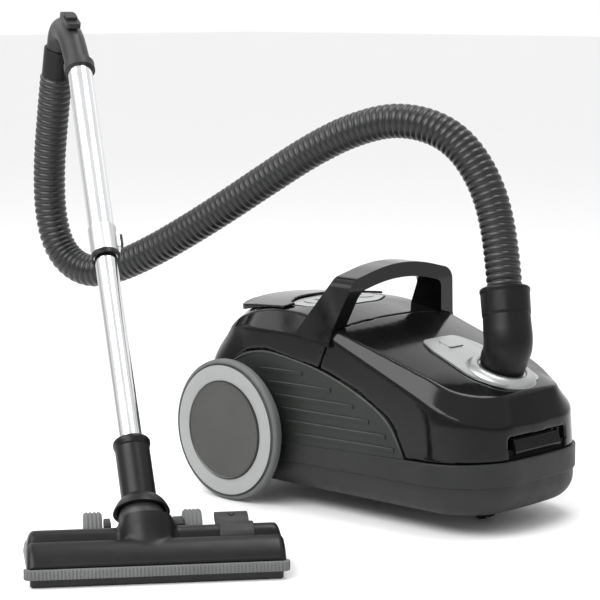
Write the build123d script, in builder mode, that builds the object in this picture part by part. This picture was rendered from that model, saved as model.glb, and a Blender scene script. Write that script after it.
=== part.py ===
"""Canister vacuum cleaner: wheeled body, corrugated hose, telescopic wand and floor nozzle.

Millimetres, +Z up, standing on Z = 0. The body points along +X. The origin is at the middle of
the base of the whole object's box, without the hose.
"""
import math
import os

from build123d import *

# ---------------------------------------------------------------- driving dimensions
AXLE_X = -20.32          # rear axle station in the row frame
MID_Y = 229.23           # the body's centre plane in the row frame

# body, measured from the rear axle (x) and the centre plane (y)
FRONT_X = 404.0
REAR_X = -96.0
FRONT_HALF = 127.0
REAR_HALF = 137.0
BOW = 6.0
FRONT_CORNER = 85.0
REAR_CORNER = 62.0
WALL_DRAFT = 4.0         # degrees
WALL = 3.0

FLOOR_Z = 25.0           # underside of the body
BAND_Z = 63.0            # joint between the lower tub and the bumper band
RIM_Z = 84.0             # joint between bumper band and upper housings, at the rear axle
RIM_RISE = 0.030         # how fast that joint climbs towards the front
BAND_PROUD = 2.5

CREASE_X, CREASE_Z, CREASE_FALL = 157.0, 222.0, 19.7
SHOULDER_LEAN = 38.0
SEAM_X, SEAM_Z = 158.0, 250.0
LID_FALL = 17.6
SEAM_LEAN = 20.3
CROWN_RADIUS = 730.0
REAR_CREASE_Z = 229.0

WHEEL_RADIUS = 95.0
WHEEL_RING = 88.0
WHEEL_DISC = 66.0
WHEEL_IN, WHEEL_OUT = 142.0, 162.0
AXLE_PIN = 7.0

CASTER_X = 326.0
CASTER_TRAIL = 11.0
CASTER_RADIUS = 12.5

# hose connector on the lid
PORT_X, PORT_RADIUS = 338.0, 30.0
ELBOW_RADIUS = 24.5
HOSE_DIAMETER = 46.0
HOSE_BORE = 34.0

# floor nozzle, along its length (u), forward (v) and up
NOZZLE_TURN = 52.0       # direction of its length, degrees from +X
NOZZLE_MID = (245.0, -505.3)
BALL_U, BALL_V, BALL_Z = -14.0, -80.0, 57.0
BALL_RADIUS = 30.0

# wand
WAND_DIRECTION = Vector(-0.578, 0.368, 0.728)
LOWER_TUBE, UPPER_TUBE = 28.5, 33.5
COLLAR_RADIUS = 18.2
TUBE_WALL = 1.0
NECK_END, TELESCOPE_END, GRIP_START = 106.0, 385.0, 700.0
LOWER_OVERLAP = 90.0

# ---------------------------------------------------------------- planes


def level(height):
    """Horizontal plane of the body at a height."""
    return Plane(origin=(AXLE_X, MID_Y, height))


def side_view(offset=0.0):
    """Plane seen from the body's right side: x forward, y up; extrudes to the right."""
    return Plane(origin=(AXLE_X, MID_Y + offset, 0), x_dir=(1, 0, 0), z_dir=(0, -1, 0))


def cross_view(station):
    """Plane across the body: x to the left, y up; extrudes forward."""
    return Plane(origin=(AXLE_X + station, MID_Y, 0), x_dir=(0, 1, 0), z_dir=(1, 0, 0))


def falling(x, z, degrees):
    """Plane whose x axis runs forward and down at an angle, through a point of the side view."""
    a = math.radians(degrees)
    return Plane(
        origin=(AXLE_X + x, MID_Y, z),
        x_dir=(math.cos(a), 0, -math.sin(a)),
        z_dir=(math.sin(a), 0, math.cos(a)),
    )


def in_body(x, y, z):
    """A point of the body in the row frame."""
    return Vector(AXLE_X + x, MID_Y + y, z)


LID_TOP = falling(SEAM_X, SEAM_Z, LID_FALL)
SEAM = Plane(
    origin=in_body(SEAM_X, 0, SEAM_Z),
    x_dir=(0, 1, 0),
    z_dir=(math.cos(math.radians(SEAM_LEAN)), 0, -math.sin(math.radians(SEAM_LEAN))),
)
RIM = Plane(
    origin=in_body(0, 0, RIM_Z), x_dir=(1, 0, RIM_RISE), z_dir=(-RIM_RISE, 0, 1)
)
PORT_Z = SEAM_Z - (PORT_X - SEAM_X) * math.tan(math.radians(LID_FALL))
PORT = falling(PORT_X, PORT_Z, LID_FALL)

turn = math.radians(NOZZLE_TURN)
NOZZLE = Plane(
    origin=(AXLE_X + NOZZLE_MID[0], MID_Y + NOZZLE_MID[1], 0),
    x_dir=(math.cos(turn), math.sin(turn), 0),
    z_dir=(0, 0, 1),
)


def nozzle_point(u, v, z):
    """A point of the nozzle: u along it, v forward of its front edge, z up."""
    return NOZZLE.origin + NOZZLE.x_dir * u - NOZZLE.y_dir * v + Vector(0, 0, z)


BALL = nozzle_point(BALL_U, BALL_V, BALL_Z)
WAND_DIRECTION = WAND_DIRECTION.normalized()
WAND_SIDE = WAND_DIRECTION.cross(Vector(0, 0, 1)).normalized()


def wand(distance):
    """Plane across the wand, at a distance from the ball joint; y points up its back."""
    return Plane(origin=BALL + WAND_DIRECTION * distance, x_dir=WAND_SIDE, z_dir=WAND_DIRECTION)


# ---------------------------------------------------------------- output

os.makedirs("parts", exist_ok=True)


def save(part, label):
    part.label = label
    export_step(part, f"parts/{label}.step")


# ---------------------------------------------------------------- body envelopes


def body_plan(inset=0.0):
    """Plan outline of the body, shrunk by inset."""
    with BuildSketch() as plan:
        with BuildLine():
            FilletPolyline(
                (FRONT_X, 0),
                (FRONT_X - BOW, FRONT_HALF),
                (REAR_X, REAR_HALF),
                (REAR_X, -REAR_HALF),
                (FRONT_X - BOW, -FRONT_HALF),
                radius=[400, FRONT_CORNER, REAR_CORNER, REAR_CORNER, FRONT_CORNER],
                close=True,
            )
        make_face()
        if inset:
            offset(amount=-inset, mode=Mode.REPLACE)
    return plan.sketch


def walls(inset=0.0):
    """Drafted walls of the upper body."""
    with BuildPart() as block:
        with BuildSketch(level(80)):
            add(body_plan(inset))
        extrude(amount=210, taper=WALL_DRAFT)
    return block.part


def front_shoulder(inset=0.0):
    """Prism leaning in above the crease of the lid."""
    below = 110.0
    spread = below * math.tan(math.radians(SHOULDER_LEAN))
    crease = falling(CREASE_X, CREASE_Z, CREASE_FALL)
    reach = (FRONT_X - 3 - CREASE_X) / math.cos(math.radians(CREASE_FALL))
    with BuildPart() as shoulder:
        with BuildSketch(crease.offset(-below)):
            with BuildLine():
                FilletPolyline(
                    (reach, 0),
                    (reach - BOW, 122.5),
                    (-180, 131),
                    (-180, -131),
                    (reach - BOW, -122.5),
                    radius=[400, FRONT_CORNER, 1, 1, FRONT_CORNER],
                    close=True,
                )
            make_face()
            offset(amount=spread - inset, mode=Mode.REPLACE)
        extrude(amount=below + 65, taper=SHOULDER_LEAN)
    return shoulder.part


def front_crown(inset=0.0):
    """Prism under the crowned arc of the lid's top."""
    half = 170.0
    drop = CROWN_RADIUS - math.sqrt(CROWN_RADIUS**2 - half**2) + inset
    run = Plane(LID_TOP.origin, x_dir=(0, 1, 0), z_dir=LID_TOP.x_dir)
    with BuildPart() as crown:
        with BuildSketch(run.offset(-90)):
            with BuildLine():
                top = ThreePointArc((-half, -drop), (0, -inset), (half, -drop))
                Polyline(top @ 1, (half, -330), (-half, -330), top @ 0)
            make_face()
        extrude(amount=420)
    return crown.part


def lid_envelope(inset=0.0):
    """Outer form of the front, shrunk by inset: walls, sloping shoulder and crowned top."""
    shoulder = front_shoulder(inset)
    crown = front_crown(inset)
    with BuildPart() as front:
        add(walls(inset))
        add(shoulder, mode=Mode.INTERSECT)
        add(crown, mode=Mode.INTERSECT)
    return front.part


def rear_crown(inset=0.0):
    """Back and top of the rear, turned about a low axis along the body."""
    half_turn = 20.0
    depth = 264.0 - CROWN_RADIUS
    tilt = math.radians(half_turn)
    start = Plane(
        origin=in_body(0, 0, depth),
        x_dir=(1, 0, 0),
        z_dir=(0, -math.cos(tilt), math.sin(tilt)),
    )
    profile = [
        (REAR_X - 16, 20),
        (REAR_X - 14, 130),
        (-55, 250),
        (62, 268),
        (SEAM_X, SEAM_Z),
        (SEAM_X + 60, 236),
        (SEAM_X + 60, 20),
    ]
    with BuildPart() as crown:
        with BuildSketch(start):
            with BuildLine():
                FilletPolyline(
                    *[(x, z - depth) for x, z in profile],
                    radius=[5, 110, 50, 300, 500, 5, 5],
                    close=True,
                )
            make_face()
            if inset:
                offset(amount=-inset, mode=Mode.REPLACE)
        revolve(axis=Axis(in_body(0, 0, depth), (1, 0, 0)), revolution_arc=2 * half_turn)
    return crown.part


def rear_envelope(inset=0.0):
    """Outer form of the rear: walls, shoulder, and a crowned back and top."""
    below = 150.0
    spread = below * math.tan(math.radians(SHOULDER_LEAN))
    crown = rear_crown(inset)
    with BuildPart() as rear:
        add(walls(inset))
        with BuildSketch(level(REAR_CREASE_Z - below)):
            add(body_plan(9.5 + inset - spread))
        extrude(amount=below + 40, taper=SHOULDER_LEAN, mode=Mode.INTERSECT)
        add(crown, mode=Mode.INTERSECT)
    return rear.part


def above(plane, size=700.0):
    """Large block standing on a plane, used to keep what is above it."""
    with BuildPart() as block:
        with BuildSketch(plane):
            Rectangle(size * 2, size * 2)
        extrude(amount=size)
    return block.part


def rounded_box(plane, length, width, height, radius):
    """Box standing on a plane with rounded upright edges."""
    with BuildPart() as box:
        with BuildSketch(plane):
            RectangleRounded(length, width, radius)
        extrude(amount=height)
    return box.part


def pin(point, axis, radius, length, bore=0.0):
    """Round pin or bush from a point along an axis."""
    with BuildPart() as rod:
        with BuildSketch(Plane(origin=point, z_dir=axis)):
            Circle(radius)
            if bore:
                Circle(bore, mode=Mode.SUBTRACT)
        extrude(amount=length)
    return rod.part


BAND = Plane(origin=in_body(0, 0, BAND_Z - 2), x_dir=(1, 0, 0.012), z_dir=(-0.012, 0, 1))
REAR_SOLID = rear_envelope()
REAR_INNER = rear_envelope(WALL)
LID_SOLID = lid_envelope()
LID_INNER = lid_envelope(WALL)
RIGHT, LEFT = -1, 1

# ---------------------------------------------------------------- lower body


def tub_form(inset):
    """Rounded lower pan of the body, shrunk by inset."""
    with BuildPart() as pan:
        with BuildSketch(level(FLOOR_Z + inset)):
            add(body_plan(inset))
        extrude(amount=90)
        fillet(pan.faces().sort_by(Axis.Z)[0].edges(), radius=31 - inset)
    return pan.part


MOTOR = (25.0, 50.0, 130.0)
MOTOR_MOUNT_RADIUS = 58.0


def motor_cradle():
    """Two upright saddles on the floor of the tub, under the motor's mounts."""
    x, y, z = MOTOR
    with BuildPart() as cradle:
        for station in (x - 52, x + 59):
            with BuildSketch(cross_view(station)):
                with Locations((y, 58)):
                    Rectangle(92, 61)
                with Locations((y, z)):
                    Circle(MOTOR_MOUNT_RADIUS, mode=Mode.SUBTRACT)
            extrude(amount=6)
    return cradle.part


def make_base_tub():
    inner = tub_form(WALL)
    upper = above(BAND)
    stem_hole = pin(in_body(CASTER_X, 0, 20), (0, 0, 1), 5.05, 30)
    with BuildPart() as tub:
        add(tub_form(0))
        add(inner, mode=Mode.SUBTRACT)
        with BuildSketch(level(FLOOR_Z)):
            with Locations((CASTER_X, 0)):
                Circle(29)
        extrude(amount=10)
        with BuildSketch(level(FLOOR_Z + 6)):
            with Locations((CASTER_X, 0)):
                Circle(10)
        extrude(amount=15)
        with BuildSketch(level(FLOOR_Z)):
            with Locations((CASTER_X, 0)):
                Circle(26)
        extrude(amount=6.5, mode=Mode.SUBTRACT)
        with BuildSketch(level(FLOOR_Z + 1)):
            with Locations((190, -60), (190, 0), (190, 60)):
                Rectangle(200, 3)
        extrude(amount=9)
        add(upper, mode=Mode.SUBTRACT)
        add(stem_hole, mode=Mode.SUBTRACT)
        add(motor_cradle())
    save(tub.part, "base_tub")


def make_bumper_band():
    over, under = above(RIM), above(BAND)
    with BuildPart() as band:
        with BuildSketch(level(40)):
            add(body_plan(-BAND_PROUD))
            add(body_plan(WALL), mode=Mode.SUBTRACT)
        extrude(amount=80)
        add(over, mode=Mode.SUBTRACT)
        add(under, mode=Mode.INTERSECT)
        outer = band.faces().sort_by(Axis.Z)
        fillet(outer[0].outer_wire().edges() + outer[-1].outer_wire().edges(), radius=1.5)
    save(band.part, "bumper_band")


def panel_prism(grow, side):
    """Side panel's outline as a prism reaching out on one side."""
    with BuildPart() as prism:
        with BuildSketch(side_view(side * 100)):
            with BuildLine():
                FilletPolyline(
                    (-62, 40),
                    (-62, 150),
                    (0, 197),
                    (40, 204),
                    (142, 188),
                    (207, 166),
                    (262, 138),
                    (306, 60),
                    (306, 40),
                    radius=[2, 30, 40, 60, 200, 100, 60, 10, 2],
                    close=True,
                )
            make_face()
            if grow:
                offset(amount=grow, mode=Mode.REPLACE)
        extrude(amount=-side * 60)
    return prism.part


RIBS = [
    ((33, 178), (109, 180)),
    ((49, 162), (160, 164)),
    ((64, 146), (200, 148)),
    ((75, 130), (227, 132)),
    ((85, 114), (256, 117)),
    ((99, 99), (271, 102)),
]


def make_side_panel(side, label):
    """Fixed side wall: a proud panel with slanted ribs."""
    inner = walls(WALL)
    prism = panel_prism(0, side)
    over = above(RIM)
    axle_hole = pin(in_body(0, 0, WHEEL_RADIUS), (0, side, 0), AXLE_PIN, 200)
    with BuildPart() as ribs:
        add(walls(-2.2))
        add(walls(-0.8), mode=Mode.SUBTRACT)
        with BuildSketch(side_view(side * 100)):
            for low, high in RIBS:
                with BuildLine():
                    Line(low, high)
                trace(line_width=5)
        extrude(amount=-side * 60, mode=Mode.INTERSECT)
    with BuildPart() as panel:
        add(walls(-1))
        add(inner, mode=Mode.SUBTRACT)
        add(prism, mode=Mode.INTERSECT)
        add(ribs.part)
        add(over, mode=Mode.INTERSECT)
        add(axle_hole, mode=Mode.SUBTRACT)
    save(panel.part, label)


OVAL_X, OVAL_LONG, OVAL_WIDE = 57.0, 42.0, 75.0
PANEL_SEAT = 251.0


def oval_outline(grow):
    """Outline of the button panel: a four-arc oval, wider than long."""
    with BuildSketch() as outline:
        with BuildLine():
            long, wide = OVAL_LONG, OVAL_WIDE
            FilletPolyline(
                (OVAL_X - long, -wide * 0.45),
                (OVAL_X - long * 0.4, -wide),
                (OVAL_X + long * 0.4, -wide),
                (OVAL_X + long, -wide * 0.45),
                (OVAL_X + long, wide * 0.45),
                (OVAL_X + long * 0.4, wide),
                (OVAL_X - long * 0.4, wide),
                (OVAL_X - long, wide * 0.45),
                radius=[50, 19, 19, 50, 50, 19, 19, 50],
                close=True,
            )
        make_face()
        if grow:
            offset(amount=grow, mode=Mode.REPLACE)
    return outline.sketch


def oval(grow, low, high):
    """Upright oval prism round the button panel."""
    with BuildPart() as prism:
        with BuildSketch(level(low)):
            add(oval_outline(grow))
        extrude(amount=high - low)
    return prism.part


def make_rear_housing():
    over, front = above(RIM), above(SEAM)
    prisms = [panel_prism(0.3, side) for side in (LEFT, RIGHT)]
    outlet = pin(in_body(REAR_X - 10, -62, 114), (1, 0, 0), 13, 40)
    with BuildPart() as seat:
        add(rear_envelope(WALL / 2))
        add(oval(6, PANEL_SEAT - 3, 280), mode=Mode.INTERSECT)
    with BuildPart() as housing:
        add(REAR_SOLID)
        add(REAR_INNER, mode=Mode.SUBTRACT)
        add(seat.part)
        add(oval(2, PANEL_SEAT, 280), mode=Mode.SUBTRACT)
        add(front, mode=Mode.SUBTRACT)
        add(over, mode=Mode.INTERSECT)
        add(prisms[0], mode=Mode.SUBTRACT)
        add(prisms[1], mode=Mode.SUBTRACT)
        add(outlet, mode=Mode.SUBTRACT)
        with BuildSketch(level(235)):
            with Locations((-22, 0)):
                with GridLocations(9, 62, 5, 2):
                    SlotOverall(50, 4, rotation=90)
        extrude(amount=40, mode=Mode.SUBTRACT)
    save(housing.part, "rear_housing")


def make_lid():
    over = above(RIM.offset(0.6))
    front = above(SEAM.offset(0.6))
    prisms = [panel_prism(0.9, side) for side in (LEFT, RIGHT)]
    port = pin(PORT.origin - PORT.z_dir * 30, PORT.z_dir, ELBOW_RADIUS, 60)
    with BuildPart() as pocket:
        with BuildSketch(cross_view(383)):
            with Locations((0, 111)):
                RectangleRounded(124, 38, 8)
        extrude(amount=30)
        add(LID_SOLID, mode=Mode.INTERSECT)
    with BuildPart() as lid:
        add(LID_SOLID)
        add(LID_INNER, mode=Mode.SUBTRACT)
        add(pocket.part)
        with BuildSketch(cross_view(387)):
            with Locations((0, 111)):
                RectangleRounded(116, 30, 6)
        extrude(amount=30, mode=Mode.SUBTRACT)
        add(over, mode=Mode.INTERSECT)
        add(front, mode=Mode.INTERSECT)
        add(prisms[0], mode=Mode.SUBTRACT)
        add(prisms[1], mode=Mode.SUBTRACT)
        add(port, mode=Mode.SUBTRACT)
    save(lid.part, "lid")


# ---------------------------------------------------------------- on the lid

SURROUND_PROUD = 2.4


def make_port_surround():
    """Teardrop trim plate on the lid with a raised lip round the connector."""
    length = math.cos(math.radians(LID_FALL))
    port = pin(PORT.origin - PORT.z_dir * 30, PORT.z_dir, ELBOW_RADIUS, 80)
    with BuildPart() as window:
        with BuildSketch(PORT.offset(-10)):
            with Locations((-92 / length, 0)):
                RectangleRounded(25, 33, 5)
        extrude(amount=40)
    with BuildPart() as trim:
        with BuildSketch(PORT.offset(-12)):
            with BuildLine():
                FilletPolyline(
                    (46, 0),
                    (42, 46),
                    (-5, 62),
                    (-90, 50),
                    (-122, 38),
                    (-122, -38),
                    (-90, -50),
                    (-5, -62),
                    (42, -46),
                    radius=[60, 26, 60, 60, 16, 16, 60, 60, 26],
                    close=True,
                )
            make_face()
        extrude(amount=30)
        add(raised_crown(SURROUND_PROUD), mode=Mode.INTERSECT)
        with BuildSketch(PORT.offset(-5)):
            Circle(PORT_RADIUS + 5)
        extrude(amount=5 + SURROUND_PROUD + 4)
        add(port, mode=Mode.SUBTRACT)
        add(LID_SOLID, mode=Mode.SUBTRACT)
        add(window.part, mode=Mode.SUBTRACT)
    save(trim.part, "port_surround")


def raised_crown(rise):
    """Prism under the lid's crowned top raised by some amount."""
    return front_crown(-rise)


def make_release_button():
    length = math.cos(math.radians(LID_FALL))
    with BuildPart() as button:
        with BuildSketch(PORT.offset(-3)):
            with Locations((-92 / length, 0)):
                RectangleRounded(24, 32, 4.5)
        extrude(amount=20)
        add(raised_crown(SURROUND_PROUD + 1.6), mode=Mode.INTERSECT)
        add(front_crown(-1.3), mode=Mode.SUBTRACT)
    save(button.part, "release_button")


def make_latch_lever():
    with BuildPart() as lever:
        with BuildSketch(side_view(46)):
            with BuildLine():
                FilletPolyline(
                    (389, 103),
                    (398, 100),
                    (400.5, 106),
                    (396, 121),
                    (389, 121),
                    radius=[1, 2, 3, 2, 1],
                    close=True,
                )
            make_face()
        extrude(amount=92)
    save(lever.part, "latch_lever")


ELBOW_ROOT = in_body(PORT_X, 0, PORT_Z) - PORT.z_dir * 6
ELBOW_TURN = ELBOW_ROOT + PORT.z_dir * 46
HOSE_START = in_body(330, 16, 298)
ELBOW_OUT = (HOSE_START - ELBOW_TURN).normalized()


def make_elbow():
    """Swept connector with a base ring and a wider cuff where the hose enters."""
    end = HOSE_START - ELBOW_OUT * 0.2
    with BuildPart() as elbow:
        with BuildLine():
            path = FilletPolyline(ELBOW_ROOT, ELBOW_TURN, end, radius=60)
        with BuildSketch(Plane(origin=path @ 0, z_dir=path % 0)):
            Circle(ELBOW_RADIUS)
        sweep(path=path)
        with BuildSketch(Plane(origin=end, z_dir=-ELBOW_OUT)):
            Circle(29.5)
        extrude(amount=24)
        with BuildSketch(PORT.offset(SURROUND_PROUD + 4.3)):
            Circle(PORT_RADIUS)
        extrude(amount=7)
        fillet(elbow.edges().filter_by(GeomType.CIRCLE).sort_by(Axis.Z)[-1], radius=2)
        with BuildSketch(Plane(origin=path @ 0, z_dir=path % 0)):
            Circle(HOSE_BORE / 2)
        sweep(path=path, mode=Mode.SUBTRACT)
    save(elbow.part, "elbow")


def make_port_seal():
    seal = pin(PORT.origin - PORT.z_dir * 20, PORT.z_dir, ELBOW_RADIUS + 5, 13, HOSE_BORE / 2)
    with BuildPart() as ring:
        add(seal)
        add(LID_SOLID, mode=Mode.INTERSECT)
        add(LID_INNER, mode=Mode.INTERSECT)
    save(ring.part, "port_seal")


# ---------------------------------------------------------------- top of the rear


def make_button_panel():
    with BuildPart() as panel:
        add(oval(0, PANEL_SEAT, 280))
        add(REAR_SOLID, mode=Mode.INTERSECT)
        with BuildSketch(level(PANEL_SEAT)):
            with Locations((OVAL_X, 0)):
                with Locations((0, -35), (0, 35)):
                    Ellipse(24, 24)
        extrude(amount=40, mode=Mode.SUBTRACT)
    save(panel.part, "button_panel")


def make_top_button(side, label):
    with BuildPart() as button:
        with BuildSketch(level(PANEL_SEAT + 4)):
            with Locations((OVAL_X, side * 35)):
                Circle(23.6)
        extrude(amount=30)
        add(rear_envelope(-0.8), mode=Mode.INTERSECT)
    save(button.part, label)


def make_button_springs():
    with BuildPart() as springs:
        for side in (LEFT, RIGHT):
            add(pin(in_body(OVAL_X, side * 35, PANEL_SEAT), (0, 0, 1), 6, 4, 4.5))
    save(springs.part, "button_springs")


COVER_HINGE_X = 50.0


def make_exhaust_cover():
    """Raised wing behind the buttons, hinged at its two front horns."""
    half = 130.0
    drop = CROWN_RADIUS - math.sqrt(CROWN_RADIUS**2 - half**2)
    slope = Vector(115, 0, 9).normalized()
    start = Plane(origin=in_body(-75, 0, 258), x_dir=(0, 1, 0), z_dir=slope)
    with BuildPart() as cover:
        with BuildSketch(start):
            with BuildLine():
                top = ThreePointArc((-half, -drop), (0, 0), (half, -drop))
                Polyline(top @ 1, (half, -40), (-half, -40), top @ 0)
            make_face()
        extrude(amount=150)
        with BuildSketch(level(247)):
            with BuildLine():
                FilletPolyline(
                    (-67, 0),
                    (-43, 92),
                    (COVER_HINGE_X, 100),
                    (COVER_HINGE_X, -100),
                    (-43, -92),
                    radius=[250, 18, 2, 2, 18],
                    close=True,
                )
            make_face()
            add(oval_outline(2.5), mode=Mode.SUBTRACT)
        extrude(amount=45, mode=Mode.INTERSECT)
        add(rear_envelope(-0.4), mode=Mode.SUBTRACT)
    save(cover.part, "exhaust_cover")


def make_carry_handle():
    with BuildPart() as side_shape:
        with BuildSketch(side_view(160)):
            with BuildLine():
                FilletPolyline(
                    (93, 231),
                    (135, 298),
                    (137, 340),
                    (173, 340),
                    (171, 292),
                    (157, 240),
                    (157, 219),
                    radius=[2, 20, 3, 3, 20, 16, 2],
                    close=True,
                )
            make_face()
        extrude(amount=320)
    with BuildPart() as lid_zone:
        add(lid_envelope(-0.6))
        add(above(SEAM), mode=Mode.INTERSECT)
    with BuildPart() as handle:
        with BuildSketch(cross_view(80)):
            with BuildLine():
                FilletPolyline(
                    (-130, 200),
                    (-127, 226),
                    (-99, 305),
                    (0, 328),
                    (99, 305),
                    (127, 226),
                    (130, 200),
                    (104, 200),
                    (102, 226),
                    (81, 289),
                    (0, 309),
                    (-81, 289),
                    (-102, 226),
                    (-104, 200),
                    radius=[2, 15, 24, 260, 24, 15, 2, 2, 15, 18, 260, 18, 15, 2],
                    close=True,
                )
            make_face()
        extrude(amount=110)
        add(side_shape.part, mode=Mode.INTERSECT)
        add(REAR_SOLID, mode=Mode.SUBTRACT)
        add(lid_zone.part, mode=Mode.SUBTRACT)
    save(handle.part, "carry_handle")


# ---------------------------------------------------------------- wheels


def make_wheel(side, name):
    out = (0, side, 0)
    hub = in_body(0, 0, WHEEL_RADIUS)

    def ring(outer, inner, near, far):
        return pin(hub + Vector(0, side * near, 0), out, outer, far - near, inner)

    with BuildPart() as tyre:
        add(ring(WHEEL_RADIUS, WHEEL_RING, WHEEL_IN, WHEEL_OUT))
        rims = tyre.edges().filter_by(GeomType.CIRCLE).group_by(SortBy.RADIUS)[-1]
        fillet(rims, radius=4)
    save(tyre.part, f"{name}_tyre")
    with BuildPart() as rim:
        add(ring(WHEEL_RING, WHEEL_DISC, WHEEL_IN + 2, WHEEL_OUT + 2))
        outside = rim.faces().sort_by(Axis.Y)[-1 if side > 0 else 0]
        fillet(outside.edges(), radius=1.5)
    save(rim.part, f"{name}_ring")
    with BuildPart() as disc:
        add(ring(WHEEL_DISC, 0, WHEEL_OUT - 4, WHEEL_OUT + 5))
        outside = disc.faces().sort_by(Axis.Y)[-1 if side > 0 else 0]
        fillet(outside.edges(), radius=4)
        add(ring(20, 0, WHEEL_IN, WHEEL_OUT - 4))
        add(ring(WHEEL_DISC, WHEEL_DISC - 3, WHEEL_IN + 2, WHEEL_OUT - 4))
        add(ring(AXLE_PIN + 0.05, 0, WHEEL_IN - 1, WHEEL_OUT - 2), mode=Mode.SUBTRACT)
    save(disc.part, f"{name}_disc")


def make_axles():
    with BuildPart() as axles:
        for side in (LEFT, RIGHT):
            root = in_body(0, side * 118, WHEEL_RADIUS)
            add(pin(root, (0, side, 0), AXLE_PIN, WHEEL_OUT - 3 - 118))
            add(pin(root, (0, side, 0), 15, 6))
    save(axles.part, "wheel_axle")


def make_caster():
    pivot = in_body(CASTER_X, 0, 0)
    hub = in_body(CASTER_X - CASTER_TRAIL, 0, CASTER_RADIUS)
    with BuildPart() as fork:
        add(pin(pivot + Vector(0, 0, 27), (0, 0, 1), 15, 4.2))
        add(pin(pivot + Vector(0, 0, 27), (0, 0, 1), 5, 18))
        with BuildSketch(side_view(2)):
            with BuildLine():
                Polyline((309, 12), (314, 30), (338, 30), (326, 12), (315, 7), (309, 12))
            make_face()
        extrude(amount=4)
        add(pin(hub + Vector(0, -10.5, 0), (0, 1, 0), 2, 21))
    save(fork.part, "caster_fork")
    with BuildPart() as rollers:
        for side in (LEFT, RIGHT):
            near = hub + Vector(0, side * 2.3, 0)
            add(pin(near, (0, side, 0), CASTER_RADIUS, 8.5, 2.05))
        edges = rollers.edges().filter_by(GeomType.CIRCLE).group_by(SortBy.RADIUS)[-1]
        fillet(edges, radius=1.5)
    save(rollers.part, "caster_wheels")


# ---------------------------------------------------------------- inside the body


def make_bulkhead():
    intake = pin(in_body(90, 50, 130), (1, 0, 0), 36, 30)
    with BuildPart() as wall:
        with BuildSketch(cross_view(100)):
            with Locations((0, 165)):
                Rectangle(260, 162)
        extrude(amount=3)
        add(rear_envelope(WALL + 0.4), mode=Mode.INTERSECT)
        with BuildSketch(cross_view(100)):
            with Locations((0, 60)):
                Rectangle(236, 50)
        extrude(amount=3)
        add(intake, mode=Mode.SUBTRACT)
        with BuildSketch(cross_view(94)):
            with Locations((0, 212)):
                Rectangle(60, 8)
        extrude(amount=6)
        with BuildSketch(level(210)):
            with Locations((57, 0)):
                Rectangle(76, 56)
        extrude(amount=4)
    save(wall.part, "bulkhead")


def make_motor():
    x, y, z = MOTOR
    ahead = (1, 0, 0)
    with BuildPart() as case:
        add(pin(in_body(x - 57, y, z), ahead, 55, 115, 52))
        add(pin(in_body(x - 57, y, z), ahead, 55, 3, 8))
        add(pin(in_body(x + 55, y, z), ahead, 55, 3, 30))
    save(case.part, "motor_case")
    with BuildPart() as stator:
        add(pin(in_body(x - 45, y, z), ahead, 52, 45, 27))
    save(stator.part, "motor_stator")
    with BuildPart() as rotor:
        add(pin(in_body(x - 56, y, z), ahead, 5, 100))
        add(pin(in_body(x - 43, y, z), ahead, 26, 41))
        add(pin(in_body(x + 22, y, z), ahead, 48, 3))
        with BuildSketch(cross_view(x + 25)):
            with Locations((y, z)):
                with PolarLocations(30, 9):
                    Rectangle(34, 2.5)
        extrude(amount=16)
    save(rotor.part, "motor_rotor")
    with BuildPart() as mounts:
        add(pin(in_body(x - 60, y, z), ahead, MOTOR_MOUNT_RADIUS, 18, 55))
        add(pin(in_body(100, y, z), (-1, 0, 0), MOTOR_MOUNT_RADIUS, 17, 55))
    save(mounts.part, "motor_mounts")


REEL = (10.0, -70.0, 125.0)


def make_reel():
    x, y, z = REEL
    across = (0, 1, 0)
    with BuildPart() as reel:
        add(pin(in_body(x, y - 22, z), across, 75, 3, 6.3))
        add(pin(in_body(x, y - 22, z), across, 38, 44, 6.3))
        add(pin(in_body(x, y + 19, z), across, 75, 3, 6.3))
    save(reel.part, "cord_reel")
    with BuildPart() as winding:
        add(pin(in_body(x, y - 19, z), across, 66, 38, 38))
    save(winding.part, "wound_cord")
    with BuildPart() as spring_case:
        add(pin(in_body(x, y + 22.5, z), across, 40, 12))
        add(pin(in_body(x, y - 26, z), across, 6, 50))
        with BuildSketch(cross_view(x - 12)):
            with Locations((y + 31, 70)):
                Rectangle(6, 84)
            with Locations((y - 25.5, 82)):
                Rectangle(5, 108)
        extrude(amount=24)
    save(spring_case.part, "reel_spring_case")


def make_cord_outlet():
    with BuildPart() as bush:
        add(pin(in_body(REAR_X + 1, -62, 114), (1, 0, 0), 13, 12, 5))
        fillet(bush.edges().filter_by(GeomType.CIRCLE).sort_by(Axis.X)[0], radius=2)
    save(bush.part, "cord_outlet")


def make_filters():
    with BuildPart() as motor_filter:
        with BuildSketch(cross_view(103)):
            with Locations((50, 130)):
                RectangleRounded(96, 96, 8)
        extrude(amount=8)
    save(motor_filter.part, "motor_filter")
    add_filter = rounded_box(level(229).shift_origin(in_body(-22, 0, 229)), 46, 130, 12, 5)
    with BuildPart() as exhaust:
        add(add_filter)
    save(exhaust.part, "exhaust_filter")
    with BuildPart() as board:
        with BuildSketch(level(214)):
            with Locations((52, 0)):
                Rectangle(66, 60)
        extrude(amount=1.6)
        with BuildSketch(level(215.6)):
            with Locations((OVAL_X, -20), (OVAL_X, 20)):
                Rectangle(12, 12)
            with Locations((32, 0)):
                Rectangle(14, 30)
        extrude(amount=9)
    save(board.part, "control_board")


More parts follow.
